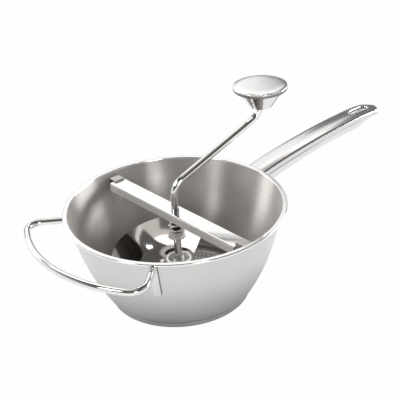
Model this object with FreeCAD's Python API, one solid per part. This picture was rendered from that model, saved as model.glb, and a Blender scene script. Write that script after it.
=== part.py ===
"""Hand-cranked food mill with a 20 cm bowl.

The bowl carries a perforated sieve disc, two handles and two brackets. A sprung bar hooks under the
brackets, and a bent crank with a helical pressing blade turns in it.

Frame: origin on the bowl's axis in the plane of its base, Z up, X along the long handle.
All sizes are millimetres.
"""
import math
import os

import FreeCAD
import Part

# Bowl
RIM_INNER_R = 100.0
BOWL_H = 91.0
WALL_T = 1.0
FLANGE_W = 4.5
FLANGE_LIP_H = 2.2
FLANGE_EDGE_R = 0.45
BASE_R = 66.4
BASE_COLLAR_H = 5.0
SEAT_W = 7.4
SHOULDER_W = 3.1
SHOULDER_H = 2.0
WALL_CONE_H = 28.8
WALL_TUCK = 8.77

# Sieve disc and its bush
SIEVE_T = 0.8
SIEVE_RIM_W = 5.6
SIEVE_RISER_H = 6.2
SIEVE_RISER_RUN = 1.5
SIEVE_HOLE_PITCH = 5.6
SIEVE_HOLE_R = 1.45
SIEVE_HOLE_SIDES = 6
SIEVE_EDGE_BAND = 1.6
SIEVE_CENTRE_BAND = 2.0
BUSH_WALL_T = 0.85
BUSH_FLANGE_W = 2.8
BUSH_LENGTH = 6.0

# Cross bar and its brackets
BAR_DROP = 5.2
BAR_DEPTH = 8.0
BAR_T = 1.0
BAR_END_GAP = 6.5
BAR_BEND_R = 1.6
BRACKET_W = 11.0
BRACKET_T = 1.5
BRACKET_LEN = 26.0
BRACKET_TURN_DEG = 1.0
TONGUE_OVERLAP = 3.0
TONGUE_W = 10.5

# Crank
ROD_R = 3.5
CRANK_R = 100.0
CRANK_AZIMUTH = -9.5
ARM_LIFT = 19.9
ARM_RISE_DEG = 24.4
LOWER_BEND_R = 12.0
UPPER_BEND_R = 16.0
PILOT_R = 3.0
PILOT_SPARE = 0.8

# Spring and its seats
SPRING_WIRE_R = 0.95
SPRING_COIL_R = 6.7
SPRING_ACTIVE_TURNS = 3.5
SPRING_END_TURNS = 0.75
SPRING_END_PITCH = 2.5
SPRING_LEN = 25.2
SPRING_SIDE_GAP = 0.25
SPRING_SAMPLES = 400
WASHER_T = 1.0
WASHER_BRIM = 0.7
STOP_RING_T = 1.0
STOP_RING_W = 2.4
STOP_GROOVE_DEPTH = 0.5

# Pressing blade and hub
BLADE_EDGE_GAP = 1.05
BLADE_T = 1.2
BLADE_LEAD_DEG = 32.0
BLADE_SWEEP_DEG = 290.0
BLADE_LEAD_INNER_Z = 32.3
BLADE_LEAD_OUTER_Z = 45.0
BLADE_FALL_POWER = 1.6
BLADE_CORNER_CUT = 0.3
BLADE_CORNER_SHARE = 0.125
BLADE_STATIONS = 25
HUB_R = 13.2
HUB_STAND = 0.8
HUB_WALL_T = 3.8
HUB_RECESS_DEPTH = 5.0
HUB_EDGE_R = 1.2

# Knob
KNOB_R = 25.5
KNOB_SKIRT = 4.8
KNOB_H = 20.8
KNOB_CROWN = 1.0
KNOB_PLATE_T = 3.6
KNOB_CONE_T = 1.2
KNOB_BRIM = 2.9
KNOB_CONE_LOW_R = 11.0
KNOB_MOUTH_GAP = 2.7
KNOB_BUSH_T = 2.4
KNOB_BUSH_LEN = 8.0
KNOB_WEB_T = 1.0
KNOB_CLIP_T = 1.0
KNOB_WASHER_T = 1.2
KNOB_PIN_SPARE = 0.8

# Long handle
HANDLE_LEN = 179.5
HANDLE_W = 24.0
HANDLE_DEPTH = 19.0
HANDLE_TIP_DEPTH = 6.5
HANDLE_T = 1.0
HANDLE_SEAM_DEPTH = 5.5
HANDLE_NEST = 2.0
HANDLE_DROP = 1.7
HANDLE_RISE = 11.3
HANDLE_PEAK = 0.8
HANDLE_TIP_DROP = 12.0
HANDLE_TOP_CORNER_R = 2.5
HANDLE_CROWN = 0.8
HANDLE_BELLY_R = 8.0
HANDLE_CORNER_SHARE = 0.65
HANDLE_STATIONS = 8
HANDLE_TIP_SHARES = (0.4, 0.7, 0.88, 0.97)
HANG_SLOT_FROM_TIP = 28.5
HANG_SLOT_LEN = 27.0
HANG_SLOT_W = 8.0
ROOT_PLUG_LEN = 16.0
WELD_PLATE_W = 30.0
WELD_PLATE_T = 2.0
WELD_PLATE_H = 22.2

# Wire handle
WIRE_R = 3.25
WIRE_ARC_R = 137.5
WIRE_LEG_DEG = 141.5
WIRE_RIM_GAP = 1.55
WIRE_CORNER_R = 14.0
FOOT_W = 7.5
FOOT_T = 2.2
FOOT_LEN = 35.2

# Clearances
FREE_GAP = 0.35
RUNNING_GAP = 0.06
SEAT_GAP = 0.08
NEST_GAP = 0.1
WELD_DEPTH = 0.2
BLADE_SIEVE_GAP = 0.4
FLANGE_GAP = 0.6
ROOT_GAP = 0.3

# Worked out from the sizes above
FLANGE_R = RIM_INNER_R + FLANGE_W
FLANGE_LOW_Z = BOWL_H - FLANGE_LIP_H
OUTLET_R = BASE_R - SEAT_W
SIEVE_R = BASE_R - WALL_T - FREE_GAP
SIEVE_PLATE_R = SIEVE_R - SIEVE_RIM_W - SIEVE_RISER_RUN
SIEVE_TOP_Z = WALL_T + SIEVE_T + SIEVE_RISER_H
BUSH_BORE_R = PILOT_R + FREE_GAP
BUSH_OUTER_R = BUSH_BORE_R + BUSH_WALL_T
BUSH_TOP_Z = SIEVE_TOP_Z + BUSH_WALL_T
BLADE_R = SIEVE_R - BLADE_EDGE_GAP
PRESSED_Z = SIEVE_TOP_Z + BLADE_SIEVE_GAP
HUB_LOW_Z = BUSH_TOP_Z + 2 * BLADE_SIEVE_GAP
PILOT_LOW_Z = BUSH_TOP_Z - BUSH_LENGTH - PILOT_SPARE
HUB_TOP_Z = BLADE_LEAD_INNER_Z + BLADE_T + HUB_STAND
BAR_TOP_Z = BOWL_H - BAR_DROP
BAR_PLATE_LOW_Z = BAR_TOP_Z - BAR_T
BAR_W = 2 * (SPRING_COIL_R + SPRING_WIRE_R + SPRING_SIDE_GAP + BAR_T)
SPRING_TOP_Z = BAR_PLATE_LOW_Z - WASHER_T
SPRING_LOW_Z = SPRING_TOP_Z - SPRING_LEN
LOWER_WASHER_Z = SPRING_LOW_Z - WASHER_T
STOP_RING_TOP_Z = LOWER_WASHER_Z - SEAT_GAP
TONGUE_LOW_Z = BAR_TOP_Z + SEAT_GAP
TONGUE_TOP_Z = TONGUE_LOW_Z + BRACKET_T
WIRE_Z = FLANGE_LOW_Z - WIRE_RIM_GAP - WIRE_R
HANDLE_START_X = FLANGE_R + FLANGE_GAP
HANDLE_ROOT_Z = BOWL_H - HANDLE_DROP
WELD_PLATE_TOP_Z = FLANGE_LOW_Z - FLANGE_GAP
WELD_PLATE_LOW_Z = WELD_PLATE_TOP_Z - WELD_PLATE_H
ARM_CORNER_Z = BOWL_H + ARM_LIFT
ARM_RISE = math.radians(ARM_RISE_DEG)
ARM_TURN = math.pi / 2 - ARM_RISE
KNOB_PIN_LOW_Z = ARM_CORNER_Z + CRANK_R * math.tan(ARM_RISE) + UPPER_BEND_R * math.tan(ARM_TURN / 2)
KNOB_WASHER_LOW_Z = KNOB_PIN_LOW_Z + FREE_GAP
KNOB_BUSH_LOW_Z = KNOB_WASHER_LOW_Z + KNOB_WASHER_T + SEAT_GAP
KNOB_BUSH_TOP_Z = KNOB_BUSH_LOW_Z + KNOB_BUSH_LEN
KNOB_CLIP_LOW_Z = KNOB_BUSH_TOP_Z + SEAT_GAP
KNOB_PIN_TOP_Z = KNOB_CLIP_LOW_Z + KNOB_CLIP_T + KNOB_PIN_SPARE
KNOB_LOW_Z = KNOB_BUSH_LOW_Z - KNOB_SKIRT
KNOB_TOP_Z = KNOB_LOW_Z + KNOB_H
KNOB_PLATE_LOW_Z = KNOB_TOP_Z - KNOB_PLATE_T
KNOB_CONE_TOP_R = KNOB_R - KNOB_BRIM
KNOB_MOUTH_R = ROD_R + KNOB_MOUTH_GAP

Z_AXIS = FreeCAD.Vector(0, 0, 1)


def vec(x, y, z):
    """A point or direction."""
    return FreeCAD.Vector(x, y, z)


def polar(radius, degrees, z):
    """A point from its distance and direction round the bowl's axis."""
    angle = math.radians(degrees)
    return vec(radius * math.cos(angle), radius * math.sin(angle), z)


def line(start, end):
    """A straight edge."""
    return Part.makeLine(start, end)


def arc(start, middle, end):
    """A round edge through three points."""
    return Part.Arc(start, middle, end).toShape()


def turned(edges, centre=None, degrees=360):
    """A solid turned about the upright axis through centre from a closed outline in the XZ plane."""
    face = Part.Face(Part.Wire(edges))
    return face.revolve(centre or vec(0, 0, 0), Z_AXIS, degrees)


def polygon(points):
    """The straight edges of a closed outline given as (radius, height) pairs."""
    corners = [vec(r, 0, z) for r, z in points]
    return [line(a, b) for a, b in zip(corners, corners[1:] + corners[:1])]


def ring(inner_r, outer_r, low_z, high_z):
    """A flat ring or tube about the bowl's axis."""
    return turned(polygon([(inner_r, low_z), (outer_r, low_z), (outer_r, high_z), (inner_r, high_z)]))


def box(low, high):
    """A box between two corners."""
    size = high.sub(low)
    return Part.makeBox(size.x, size.y, size.z, low)


def swept(path_edges, radius):
    """A round rod along a smooth path."""
    path = Part.Wire(path_edges)
    start = path_edges[0].valueAt(path_edges[0].FirstParameter)
    heading = path_edges[0].tangentAt(path_edges[0].FirstParameter)
    profile = Part.Wire(Part.makeCircle(radius, start, heading))
    return path.makePipeShell([profile], True, False)


def round_edges_at(solid, radius, height, size):
    """The solid with its circular edges of one radius and height rounded."""
    near = 0.01
    picked = []
    for edge in solid.Edges:
        middle = edge.valueAt((edge.FirstParameter + edge.LastParameter) / 2)
        if abs(middle.z - height) < near and abs(math.hypot(middle.x, middle.y) - radius) < near:
            picked.append(edge)
    return solid.makeFillet(size, picked)


class BowlWall:
    """The bowl's wall: a cone above, bent to a tangent arc below, at any offset from its inside."""

    def __init__(self):
        foot = (BASE_R - WALL_T + SHOULDER_W, BASE_COLLAR_H + SHOULDER_H)
        run = RIM_INNER_R - foot[0]
        rise = BOWL_H - foot[1]
        lean = math.atan2(run, rise) - math.asin(WALL_TUCK / math.hypot(run, rise))
        self.slope = math.tan(lean)
        self.out = (math.cos(lean), -math.sin(lean))
        self.joint = (RIM_INNER_R - WALL_CONE_H * self.slope, BOWL_H - WALL_CONE_H)
        gap = (foot[0] - self.joint[0], foot[1] - self.joint[1])
        self.bend_r = (gap[0] ** 2 + gap[1] ** 2) / (2 * WALL_TUCK)
        self.centre = (self.joint[0] - self.bend_r * self.out[0], self.joint[1] - self.bend_r * self.out[1])
        self.foot_z = foot[1]

    def bend_top(self, offset):
        """Where the cone meets the arc, at an offset outwards from the wall's inside."""
        return self.joint[0] + offset * self.out[0], self.joint[1] + offset * self.out[1]

    def radius(self, z, offset):
        """The wall's radius at a height."""
        top_r, top_z = self.bend_top(offset)
        if z >= top_z:
            return top_r + (z - top_z) * self.slope
        return self.centre[0] + math.sqrt((self.bend_r + offset) ** 2 - (z - self.centre[1]) ** 2)

    def point(self, z, offset):
        """A point of the wall in the XZ plane."""
        return vec(self.radius(z, offset), 0, z)

    def edges(self, low_z, high_z, offset):
        """The wall's line from a low height to a high one."""
        top_r, top_z = self.bend_top(offset)
        if low_z >= top_z:
            return [line(self.point(low_z, offset), self.point(high_z, offset))]
        bend_high = min(top_z, high_z)
        middle = self.point((low_z + bend_high) / 2, offset)
        made = [arc(self.point(low_z, offset), middle, self.point(bend_high, offset))]
        if high_z > top_z:
            made.append(line(vec(top_r, 0, top_z), self.point(high_z, offset)))
        return made

    def plate(self, low_z, high_z, inner_offset, outer_offset, width, direction_deg):
        """A strip that follows the wall, centred on a direction."""
        inner = self.edges(low_z, high_z, inner_offset)
        outer = self.edges(low_z, high_z, outer_offset)
        caps = [
            line(self.point(low_z, inner_offset), self.point(low_z, outer_offset)),
            line(self.point(high_z, inner_offset), self.point(high_z, outer_offset)),
        ]
        half_turn_deg = 30
        solid = turned(Part.__sortEdges__(inner + outer + caps), degrees=2 * half_turn_deg)
        solid.rotate(vec(0, 0, 0), Z_AXIS, -half_turn_deg)
        reach = 2 * RIM_INNER_R
        strip = solid.common(box(vec(0, -width / 2, 0), vec(reach, width / 2, reach)))
        strip.rotate(vec(0, 0, 0), Z_AXIS, direction_deg)
        return strip


WALL = BowlWall()
BAR_HALF_LEN = WALL.radius(BAR_TOP_Z - BAR_DEPTH, -NEST_GAP - BRACKET_T) - BAR_END_GAP


def make_bowl():
    """The bowl: lip for the sieve, base collar, wall and rim flange."""
    inner = WALL.edges(WALL.foot_z, BOWL_H, 0)
    under_flange = BOWL_H - WALL_T
    outer = WALL.edges(WALL.foot_z, under_flange, WALL_T)
    rim = [
        WALL.point(under_flange, WALL_T),
        vec(FLANGE_R - WALL_T, 0, under_flange),
        vec(FLANGE_R - WALL_T, 0, FLANGE_LOW_Z),
        vec(FLANGE_R, 0, FLANGE_LOW_Z),
        vec(FLANGE_R, 0, BOWL_H),
        WALL.point(BOWL_H, 0),
    ]
    base = [
        WALL.point(WALL.foot_z, 0),
        vec(BASE_R - WALL_T, 0, BASE_COLLAR_H),
        vec(BASE_R - WALL_T, 0, WALL_T),
        vec(OUTLET_R, 0, WALL_T),
        vec(OUTLET_R, 0, 0),
        vec(BASE_R, 0, 0),
        vec(BASE_R, 0, BASE_COLLAR_H),
        WALL.point(WALL.foot_z, WALL_T),
    ]
    straight = [line(a, b) for run in (rim, base) for a, b in zip(run, run[1:])]
    solid = turned(Part.__sortEdges__(inner + outer + straight))
    solid = round_edges_at(solid, FLANGE_R, BOWL_H, FLANGE_EDGE_R)
    solid = round_edges_at(solid, RIM_INNER_R, BOWL_H, FLANGE_EDGE_R)
    return round_edges_at(solid, BASE_R, 0, FLANGE_EDGE_R)


def sieve_hole_places():
    """Centres of the sieve's holes: staggered rows, kept off the plate's edge and its centre."""
    row_step = SIEVE_HOLE_PITCH * math.sqrt(3) / 2
    outer_r = SIEVE_PLATE_R - SIEVE_EDGE_BAND - SIEVE_HOLE_R
    inner_r = BUSH_OUTER_R + BUSH_FLANGE_W + SIEVE_CENTRE_BAND + SIEVE_HOLE_R
    rows = math.ceil(outer_r / row_step)
    places = []
    for row in range(-rows, rows + 1):
        shift = SIEVE_HOLE_PITCH / 2 * (row % 2)
        for column in range(-rows, rows + 1):
            x = column * SIEVE_HOLE_PITCH + shift
            y = row * row_step
            if inner_r <= math.hypot(x, y) <= outer_r:
                places.append((x, y))
    return places


def sieve_hole_wire(x, y, z):
    """One hole's edge, drawn with a few straight sides."""
    step_deg = 360 / SIEVE_HOLE_SIDES
    corners = [polar(SIEVE_HOLE_R, step_deg * k, z).add(vec(x, y, 0)) for k in range(SIEVE_HOLE_SIDES)]
    return Part.makePolygon(corners + corners[:1])


def make_sieve_disc():
    """The sieve disc: flat rim on the bowl's lip, riser and perforated plate."""
    low_z = SIEVE_TOP_Z - SIEVE_T
    edges = [
        Part.Wire(Part.makeCircle(radius, vec(0, 0, low_z)))
        for radius in (SIEVE_PLATE_R, BUSH_OUTER_R)
    ]
    holes = [sieve_hole_wire(x, y, low_z) for x, y in sieve_hole_places()]
    plate = Part.Face(edges + holes, "Part::FaceMakerBullseye").extrude(vec(0, 0, SIEVE_T))
    rim_inner_r = SIEVE_R - SIEVE_RIM_W
    rim = [
        (SIEVE_R, WALL_T),
        (rim_inner_r, WALL_T),
        (SIEVE_PLATE_R, low_z),
        (SIEVE_PLATE_R, SIEVE_TOP_Z),
        (rim_inner_r, WALL_T + SIEVE_T),
        (SIEVE_R, WALL_T + SIEVE_T),
    ]
    return plate.fuse(turned(polygon(rim))).removeSplitter()


def make_sieve_bush():
    """The eyelet in the disc's centre: a tube with a flange below and a rolled edge above."""
    flange_top = SIEVE_TOP_Z - SIEVE_T
    tube = ring(BUSH_BORE_R, BUSH_OUTER_R, BUSH_TOP_Z - BUSH_LENGTH, BUSH_TOP_Z)
    flange = ring(BUSH_BORE_R, BUSH_OUTER_R + BUSH_FLANGE_W, flange_top - BUSH_WALL_T, flange_top)
    rolled = ring(BUSH_BORE_R, BUSH_OUTER_R + BUSH_WALL_T, SIEVE_TOP_Z, BUSH_TOP_Z)
    return tube.fuse([flange, rolled]).removeSplitter()


def make_bar_bracket(direction_deg):
    """A strip on the inside of the wall with the tongue that holds one end of the bar down."""
    face = -NEST_GAP
    low_z = TONGUE_TOP_Z - BRACKET_LEN
    strip = WALL.plate(low_z, TONGUE_TOP_Z, face - BRACKET_T, face, BRACKET_W, 0)
    root_x = WALL.radius(TONGUE_LOW_Z, face - BRACKET_T / 2)
    low = vec(BAR_HALF_LEN - TONGUE_OVERLAP, -TONGUE_W / 2, TONGUE_LOW_Z)
    tongue = box(low, vec(root_x, TONGUE_W / 2, TONGUE_TOP_Z))
    solid = strip.fuse(tongue).removeSplitter()
    solid.rotate(vec(0, 0, 0), Z_AXIS, direction_deg)
    return solid


def channel_outline(half_w, top_z, low_z, corner_r):
    """A closed outline in the XZ plane: flat below, two round corners above."""
    bend = corner_r * (1 - math.sqrt(0.5))
    edges = [
        line(vec(-half_w, 0, low_z), vec(-half_w, 0, top_z - corner_r)),
        arc(
            vec(-half_w, 0, top_z - corner_r),
            vec(-half_w + bend, 0, top_z - bend),
            vec(-half_w + corner_r, 0, top_z),
        ),
        line(vec(-half_w + corner_r, 0, top_z), vec(half_w - corner_r, 0, top_z)),
        arc(
            vec(half_w - corner_r, 0, top_z),
            vec(half_w - bend, 0, top_z - bend),
            vec(half_w, 0, top_z - corner_r),
        ),
        line(vec(half_w, 0, top_z - corner_r), vec(half_w, 0, low_z)),
        line(vec(half_w, 0, low_z), vec(-half_w, 0, low_z)),
    ]
    return Part.Face(Part.Wire(edges))


def make_crossbar():
    """The bar: a channel open below, with a hole for the crank's shaft."""
    low_z = BAR_TOP_Z - BAR_DEPTH
    length = vec(0, 2 * BAR_HALF_LEN, 0)
    solid = channel_outline(BAR_W / 2, BAR_TOP_Z, low_z, BAR_BEND_R).extrude(length)
    hollow = channel_outline(BAR_W / 2 - BAR_T, BAR_PLATE_LOW_Z, low_z - BAR_T, BAR_BEND_R - BAR_T)
    solid = solid.cut(hollow.extrude(length))
    solid.translate(vec(0, -BAR_HALF_LEN, 0))
    hole = Part.makeCylinder(ROD_R + FREE_GAP, BAR_DEPTH, vec(0, 0, low_z))
    hole.translate(vec(0, 0, BAR_T))
    return solid.cut(hole)


def spring_height(turns, total_turns, rise):
    """Height along the spring after a number of turns: close ends, open middle."""
    end_rise = SPRING_END_TURNS * SPRING_END_PITCH
    active_pitch = (rise - 2 * end_rise) / SPRING_ACTIVE_TURNS
    if turns <= SPRING_END_TURNS:
        return turns * SPRING_END_PITCH
    if turns >= total_turns - SPRING_END_TURNS:
        return rise - (total_turns - turns) * SPRING_END_PITCH
    return end_rise + (turns - SPRING_END_TURNS) * active_pitch


def biarc(start, start_dir, end, end_dir):
    """Two round edges that join two points and leave and arrive along two directions."""
    gap = end.sub(start)
    both = start_dir.add(end_dir)
    spread = 2 * (1 - start_dir.dot(end_dir))
    along = gap.dot(both)
    reach = (-along + math.sqrt(along ** 2 + spread * gap.dot(gap))) / spread
    first_corner = start.add(start_dir.multiply(reach))
    second_corner = end.sub(end_dir.multiply(reach))
    joint = first_corner.add(second_corner).multiply(0.5)
    made = []
    for a, corner, b in ((start, first_corner, joint), (joint, second_corner, end)):
        middle = a.add(b).multiply(0.5)
        half = b.sub(a).Length / 2
        bend = math.acos(min(1.0, half / corner.sub(a).Length))
        towards = corner.sub(middle).normalize()
        made.append(arc(a, middle.add(towards.multiply(half * math.tan(bend / 2))), b))
    return made


def make_pressure_spring():
    """The spring: one unbroken wire, wound closer at both ends; prints its least gap to itself."""
    low = SPRING_LOW_Z + SPRING_WIRE_R
    rise = SPRING_TOP_Z - SPRING_WIRE_R - low
    total_turns = SPRING_ACTIVE_TURNS + 2 * SPRING_END_TURNS
    step_turns = 0.25
    steps = round(total_turns / step_turns)

    def at(turns):
        height = low + spring_height(turns, total_turns, rise)
        return polar(SPRING_COIL_R, 360 * turns, height)

    def heading(turns):
        small = 0.01
        before = max(0.0, turns - small)
        after = min(total_turns, turns + small)
        return at(after).sub(at(before)).normalize()

    knots = [total_turns * k / steps for k in range(steps + 1)]
    path = []
    for a, b in zip(knots, knots[1:]):
        path += biarc(at(a), heading(a), at(b), heading(b))

    half_turn = 0.5
    fine = [total_turns * k / SPRING_SAMPLES for k in range(SPRING_SAMPLES + 1)]
    centre_gap = min(at(a).sub(at(b)).Length for a in fine for b in fine if b - a > half_turn)
    print("pressure_spring least gap to itself: %.2f mm" % (centre_gap - 2 * SPRING_WIRE_R))
    return swept(path, SPRING_WIRE_R)


def crank_corner(corner, before, after, bend_r):
    """Ends and middle of the bend where two straight runs of the crank meet."""
    turn = before.getAngle(after)
    setback = bend_r * math.tan(turn / 2)
    start = corner.sub(vec(before.x, before.y, before.z).multiply(setback))
    end = corner.add(vec(after.x, after.y, after.z).multiply(setback))
    inward = start.add(end).multiply(0.5).sub(corner).normalize()
    middle = corner.add(inward.multiply(bend_r / math.cos(turn / 2) - bend_r))
    return start, middle, end


def make_crank_rod():
    """The crank: shaft, rising arm and knob pin, with a pilot below and a groove for the stop ring."""
    arm_dir = vec(math.cos(ARM_RISE), 0, math.sin(ARM_RISE))
    low_corner = vec(0, 0, ARM_CORNER_Z)
    high_corner = vec(CRANK_R, 0, ARM_CORNER_Z + CRANK_R * math.tan(ARM_RISE))
    low_bend = crank_corner(low_corner, Z_AXIS, arm_dir, LOWER_BEND_R)
    high_bend = crank_corner(high_corner, arm_dir, Z_AXIS, UPPER_BEND_R)
    path = [
        line(vec(0, 0, HUB_LOW_Z), low_bend[0]),
        arc(*low_bend),
        line(low_bend[2], high_bend[0]),
        arc(*high_bend),
        line(high_bend[2], vec(CRANK_R, 0, KNOB_PIN_TOP_Z)),
    ]
    rod = swept(path, ROD_R)
    pilot = Part.makeCylinder(PILOT_R, HUB_LOW_Z - PILOT_LOW_Z, vec(0, 0, PILOT_LOW_Z))
    groove_low = STOP_RING_TOP_Z - STOP_RING_T
    groove = ring(ROD_R - STOP_GROOVE_DEPTH, 2 * ROD_R, groove_low, STOP_RING_TOP_Z)
    solid = rod.fuse(pilot).removeSplitter().cut(groove)
    solid.rotate(vec(0, 0, 0), Z_AXIS, CRANK_AZIMUTH)
    return solid


def blade_section(share):
    """The blade's thin cross-section at a share of its sweep; the raised corner is cut round."""
    fall = share ** BLADE_FALL_POWER
    inner_r = HUB_R - WELD_DEPTH
    reach = math.sqrt(BLADE_R ** 2 - inner_r ** 2)
    inner_z = BLADE_LEAD_INNER_Z + (PRESSED_Z - BLADE_LEAD_INNER_Z) * fall
    outer_z = BLADE_LEAD_OUTER_Z + (PRESSED_Z - BLADE_LEAD_OUTER_Z) * fall
    heading = BLADE_LEAD_DEG + BLADE_SWEEP_DEG * share
    inner = polar(inner_r, heading - 90, inner_z)
    early = max(0.0, 1 - share / BLADE_CORNER_SHARE)
    kept = 1 - BLADE_CORNER_CUT * early ** 2
    ruling = polar(reach, heading, outer_z - inner_z)
    outer = inner.add(ruling.multiply(kept))
    up = vec(0, 0, BLADE_T)
    return Part.makePolygon([inner, outer, outer.add(up), inner.add(up), inner])


def make_pressing_blade():
    """The blade: a sheet of straight lines touching the hub, raised in front and pressing behind."""
    shares = [k / (BLADE_STATIONS - 1) for k in range(BLADE_STATIONS)]
    return Part.makeLoft([blade_section(share) for share in shares], True, False)


def make_blade_hub():
    """The hub: a boss round the shaft with a recess in its top."""
    solid = ring(ROD_R, HUB_R, HUB_LOW_Z, HUB_TOP_Z)
    solid = round_edges_at(solid, HUB_R, HUB_TOP_Z, HUB_EDGE_R)
    recess_low_z = HUB_TOP_Z - HUB_RECESS_DEPTH
    return solid.cut(ring(ROD_R, HUB_R - HUB_WALL_T, recess_low_z, HUB_TOP_Z + HUB_EDGE_R))


def make_spring_washer_upper():
    """The spring's seat under the bar."""
    return ring(ROD_R + FREE_GAP, SPRING_COIL_R + SPRING_WIRE_R, SPRING_TOP_Z, BAR_PLATE_LOW_Z)


def make_spring_washer_lower():
    """The spring's seat on the shaft, a little wider than the spring."""
    outer_r = SPRING_COIL_R + SPRING_WIRE_R + WASHER_BRIM
    return ring(ROD_R + FREE_GAP, outer_r, LOWER_WASHER_Z, SPRING_LOW_Z)


def make_stop_ring():
    """The retaining ring in the shaft's groove."""
    inner_r = ROD_R - STOP_GROOVE_DEPTH
    return ring(inner_r, inner_r + STOP_RING_W, STOP_RING_TOP_Z - STOP_RING_T, STOP_RING_TOP_Z)


def on_knob(solid):
    """A solid made about the bowl's axis, moved to the knob's axis."""
    solid.translate(polar(CRANK_R, CRANK_AZIMUTH, 0))
    return solid


def make_knob_cap():
    """The knob's top plate, a little crowned, with a round edge."""
    edge_r = KNOB_PLATE_T / 2
    flat_r = KNOB_R - edge_r
    middle_z = KNOB_PLATE_LOW_Z + edge_r
    crown = (flat_r ** 2 + KNOB_CROWN ** 2) / (2 * KNOB_CROWN)
    half_r = flat_r / 2
    half_z = KNOB_TOP_Z + KNOB_CROWN - (crown - math.sqrt(crown ** 2 - half_r ** 2))
    edges = [
        line(vec(0, 0, KNOB_PLATE_LOW_Z), vec(flat_r, 0, KNOB_PLATE_LOW_Z)),
        arc(vec(flat_r, 0, KNOB_PLATE_LOW_Z), vec(KNOB_R, 0, middle_z), vec(flat_r, 0, KNOB_TOP_Z)),
        arc(vec(flat_r, 0, KNOB_TOP_Z), vec(half_r, 0, half_z), vec(0, 0, KNOB_TOP_Z + KNOB_CROWN)),
        line(vec(0, 0, KNOB_TOP_Z + KNOB_CROWN), vec(0, 0, KNOB_PLATE_LOW_Z)),
    ]
    return on_knob(turned(edges))


def knob_cone_inner_r(z):
    """The cone's inside radius at a height."""
    share = (z - KNOB_LOW_Z) / (KNOB_PLATE_LOW_Z - KNOB_LOW_Z)
    return KNOB_CONE_LOW_R + (KNOB_CONE_TOP_R - KNOB_CONE_LOW_R) * share - KNOB_CONE_T


def make_knob_cone():
    """The cone below the plate, open where the pin comes in."""
    floor_z = KNOB_LOW_Z + KNOB_CONE_T
    outline = [
        (KNOB_MOUTH_R, KNOB_LOW_Z),
        (KNOB_CONE_LOW_R, KNOB_LOW_Z),
        (KNOB_CONE_TOP_R, KNOB_PLATE_LOW_Z),
        (knob_cone_inner_r(KNOB_PLATE_LOW_Z), KNOB_PLATE_LOW_Z),
        (knob_cone_inner_r(floor_z), floor_z),
        (KNOB_MOUTH_R, floor_z),
    ]
    return on_knob(turned(polygon(outline)))


def make_knob_bush():
    """The knob's bearing on the pin."""
    bore_r = ROD_R + RUNNING_GAP
    return on_knob(ring(bore_r, bore_r + KNOB_BUSH_T, KNOB_BUSH_LOW_Z, KNOB_BUSH_TOP_Z))


def make_knob_web():
    """The plate that carries the bush inside the cone."""
    inner_r = ROD_R + RUNNING_GAP + KNOB_BUSH_T
    low_z = KNOB_BUSH_TOP_Z - KNOB_WEB_T
    outline = [
        (inner_r, low_z),
        (knob_cone_inner_r(low_z), low_z),
        (knob_cone_inner_r(KNOB_BUSH_TOP_Z), KNOB_BUSH_TOP_Z),
        (inner_r, KNOB_BUSH_TOP_Z),
    ]
    return on_knob(turned(polygon(outline)))


def make_knob_clip():
    """The push-on ring that keeps the bush on the pin."""
    outer_r = ROD_R + KNOB_BUSH_T
    return on_knob(ring(ROD_R, outer_r, KNOB_CLIP_LOW_Z, KNOB_CLIP_LOW_Z + KNOB_CLIP_T))


def make_knob_thrust_washer():
    """The washer on the pin that the bush turns on."""
    return on_knob(ring(ROD_R, ROD_R + KNOB_BUSH_T, KNOB_WASHER_LOW_Z, KNOB_WASHER_LOW_Z + KNOB_WASHER_T))


def handle_top_z(x):
    """Height of the long handle's top at a distance from the axis: an arch that falls at the tip."""
    share = (x - HANDLE_START_X) / HANDLE_LEN
    if share <= HANDLE_PEAK:
        return HANDLE_ROOT_Z + HANDLE_RISE * (1 - (1 - share / HANDLE_PEAK) ** 2)
    fall = (share - HANDLE_PEAK) / (1 - HANDLE_PEAK)
    return HANDLE_ROOT_Z + HANDLE_RISE - HANDLE_TIP_DROP * fall ** 2


def handle_half_w(x):
    """Half the long handle's width: steady, with a round tip."""
    tip_r = HANDLE_W / 2
    past = x - (HANDLE_START_X + HANDLE_LEN - tip_r)
    if past <= 0:
        return tip_r
    return math.sqrt(max(0.0, tip_r ** 2 - past ** 2))


def handle_depth(x):
    """The long handle's full depth, less at the tip."""
    share = (x - HANDLE_START_X) / HANDLE_LEN
    fall = max(0.0, (share - HANDLE_PEAK) / (1 - HANDLE_PEAK))
    return HANDLE_DEPTH + (HANDLE_TIP_DEPTH - HANDLE_DEPTH) * fall


def handle_places(inset):
    """Distances from the axis where the long handle's sections stand: even, then closer at the tip."""
    tip_r = HANDLE_W / 2
    end_x = HANDLE_START_X + HANDLE_LEN
    tip_start = end_x - tip_r
    step = (tip_start - HANDLE_START_X) / HANDLE_STATIONS
    even = [HANDLE_START_X + step * k for k in range(HANDLE_STATIONS + 1)]
    tip = [tip_start + tip_r * share for share in HANDLE_TIP_SHARES]
    return [x for x in even + tip if x < end_x - inset - NEST_GAP]


def section_wire(points, x):
    """A closed wire across the long handle: lines, and arcs where a point is given between ends."""
    edges = []
    for run in points:
        placed = [vec(x, y, z) for y, z in run]
        edges.append(line(*placed) if len(placed) == 2 else arc(*placed))
    return Part.Wire(edges)


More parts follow.
